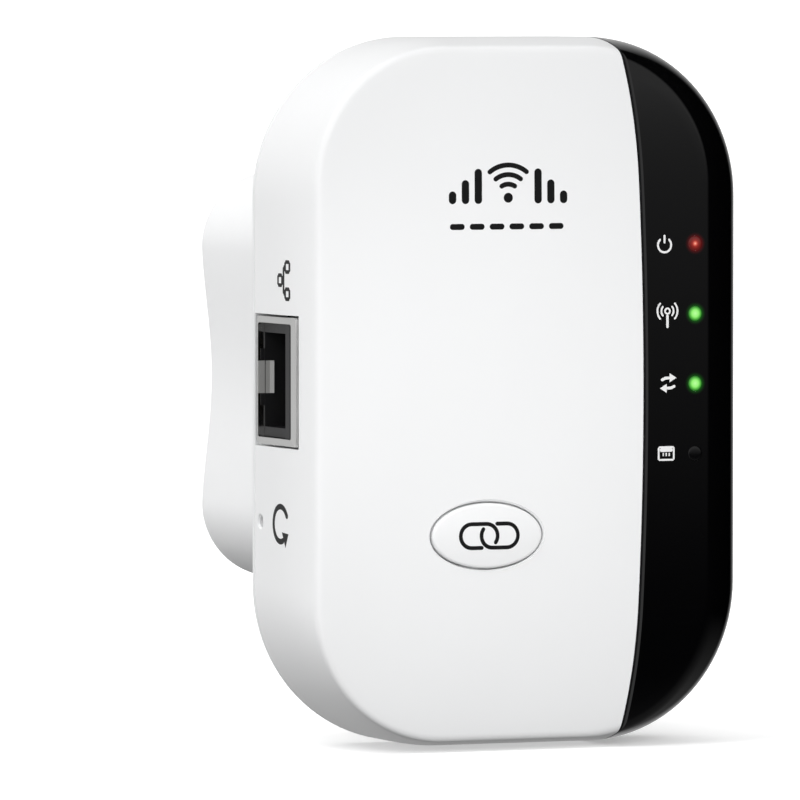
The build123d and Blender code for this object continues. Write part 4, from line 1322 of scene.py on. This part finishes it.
def buildStage():
    # Floor that sweeps up into a backdrop: a straight run, a quarter circle and a rise, carried along x
    turn = np.linspace(0, math.pi / 2, 24)
    floorZ = cadBox[0].z - 0.0002
    look = stageLook
    radius, back = look["sweepRadius"], look["wallAt"]
    y = np.concatenate([[look["floorNear"]], back - radius + radius * np.sin(turn), [back]])
    z = np.concatenate([[0.0], radius * (1 - np.cos(turn)), [look["wallTop"]]]) + floorZ
    x = np.linspace(-look["halfWide"], look["halfWide"], 3)
    points = np.stack([np.tile(x, (len(y), 1)), np.tile(y[:, None], (1, 3)), np.tile(z[:, None], (1, 3))], -1)
    index = np.arange(points.shape[0] * 3).reshape(-1, 3)
    faces = np.stack([index[:-1, :-1], index[:-1, 1:], index[1:, 1:], index[1:, :-1]], -1).reshape(-1, 4)
    mesh = bpy.data.meshes.new("paperSweep")
    mesh.from_pydata(points.reshape(-1, 3).tolist(), [], faces.tolist())
    mesh.shade_smooth()
    sweep = bpy.data.objects.new("paperSweep", mesh)
    bpy.context.scene.collection.objects.link(sweep)
    level = look["floorColor"]
    mesh.materials.append(makeFinish(
        "backdropPaper", (level, level, level), (0.8, 0.9), drift=0.004, driftScale=4.0,
        settings={"Emission Color": (1, 1, 1, 1), "Emission Strength": look["floorGlow"]},
    ))
    sweep.visible_glossy = False
    sweep.visible_diffuse = False


def buildWorld():
    # White surroundings for soft light. In reflections they are dark on the right, lighter above in front,
    # and bright on the left and behind.
    look = stageLook
    world = bpy.data.worlds.new("studioSurroundings")
    world.use_nodes = True
    bpy.context.scene.world = world
    tree = world.node_tree
    tree.nodes.clear()
    output = tree.nodes.new("ShaderNodeOutputWorld")
    path = tree.nodes.new("ShaderNodeLightPath")
    place = tree.nodes.new("ShaderNodeTexCoord")
    parts = addNode(tree, "ShaderNodeSeparateXYZ", {0: place.outputs["Generated"]})
    x, y, z = (parts.outputs[axis] for axis in "XYZ")
    rise = remap(tree, z, look["riseSpan"], look["frontGlow"])
    total = calculate(tree, "MULTIPLY", rise, remap(tree, y, look["frontSpan"]))
    for value, use in ((x, "left"), (z, "under")):
        glow = remap(tree, value, look[f"{use}Span"], (0.0, look[f"{use}Glow"]))
        total = calculate(tree, "ADD", total, glow)
    back = remap(tree, y, look["backSpan"], (0.0, look["backGlow"]))
    total = calculate(tree, "MAXIMUM", total, back)
    fill = remap(tree, z, look["fillSpan"], look["fill"])
    plain = addNode(tree, "ShaderNodeBackground", {"Color": (1, 1, 1, 1), "Strength": fill})
    gloss = addNode(tree, "ShaderNodeBackground", {"Color": (1, 1, 1, 1), "Strength": total})
    mixed = addNode(tree, "ShaderNodeMixShader", {0: path.outputs["Is Glossy Ray"], 1: plain.outputs[0],
                                                  2: gloss.outputs[0]})
    tree.links.new(mixed.outputs[0], output.inputs["Surface"])


# Each soft light: place, point it faces, size and power. None of them shows in reflections
softLights = {
    "nearBox": {"place": (-0.01, -0.15, 0), "aim": (-0.005, -0.03, 0), "size": (0.05, 0.05), "watts": 0.05},
    "frontBox": {"place": (-0.6, -1.5, 0.3), "aim": (0, -0.03, 0), "size": (1.2, 1.0), "watts": 6.0},
    "leftBox": {"place": (-1.3, -0.5, 0.1), "aim": (0, -0.03, 0), "size": (0.6, 1.0), "watts": 0.7},
    "cornerBox": {"place": (-0.75, -0.15, 0.85), "aim": (0, -0.03, 0), "size": (0.6, 0.6), "watts": 4.8},
    "leftRearBox": {"place": (-0.9, 0.7, -0.1), "aim": (0, 0, 0), "size": (0.6, 0.8), "watts": 7.0},
    "topBox": {"place": (0.1, 0.3, 1.5), "aim": (0, 0.1, 0), "size": (1.8, 1.6), "watts": 3.0},
    "backBox": {"place": (0.2, 1.0, 1.6), "aim": (0, 1.9, 0.2), "size": (2.4, 1.0), "watts": 20.0},
}


def buildLights():
    for name, look in softLights.items():
        data = bpy.data.lights.new(name, "AREA")
        data.shape = "RECTANGLE"
        data.size, data.size_y = look["size"]
        data.energy = look["watts"]
        light = bpy.data.objects.new(name, data)
        light.location = look["place"]
        facing = Vector(look["aim"]) - Vector(look["place"])
        light.rotation_euler = facing.to_track_quat("-Z", "Y").to_euler()
        light.visible_camera = False
        light.visible_glossy = False
        bpy.context.scene.collection.objects.link(light)


buildCamera()
buildStage()
buildWorld()
buildLights()
bpy.context.scene.view_settings.view_transform = "Standard"
print("camera, stage and lights ready")
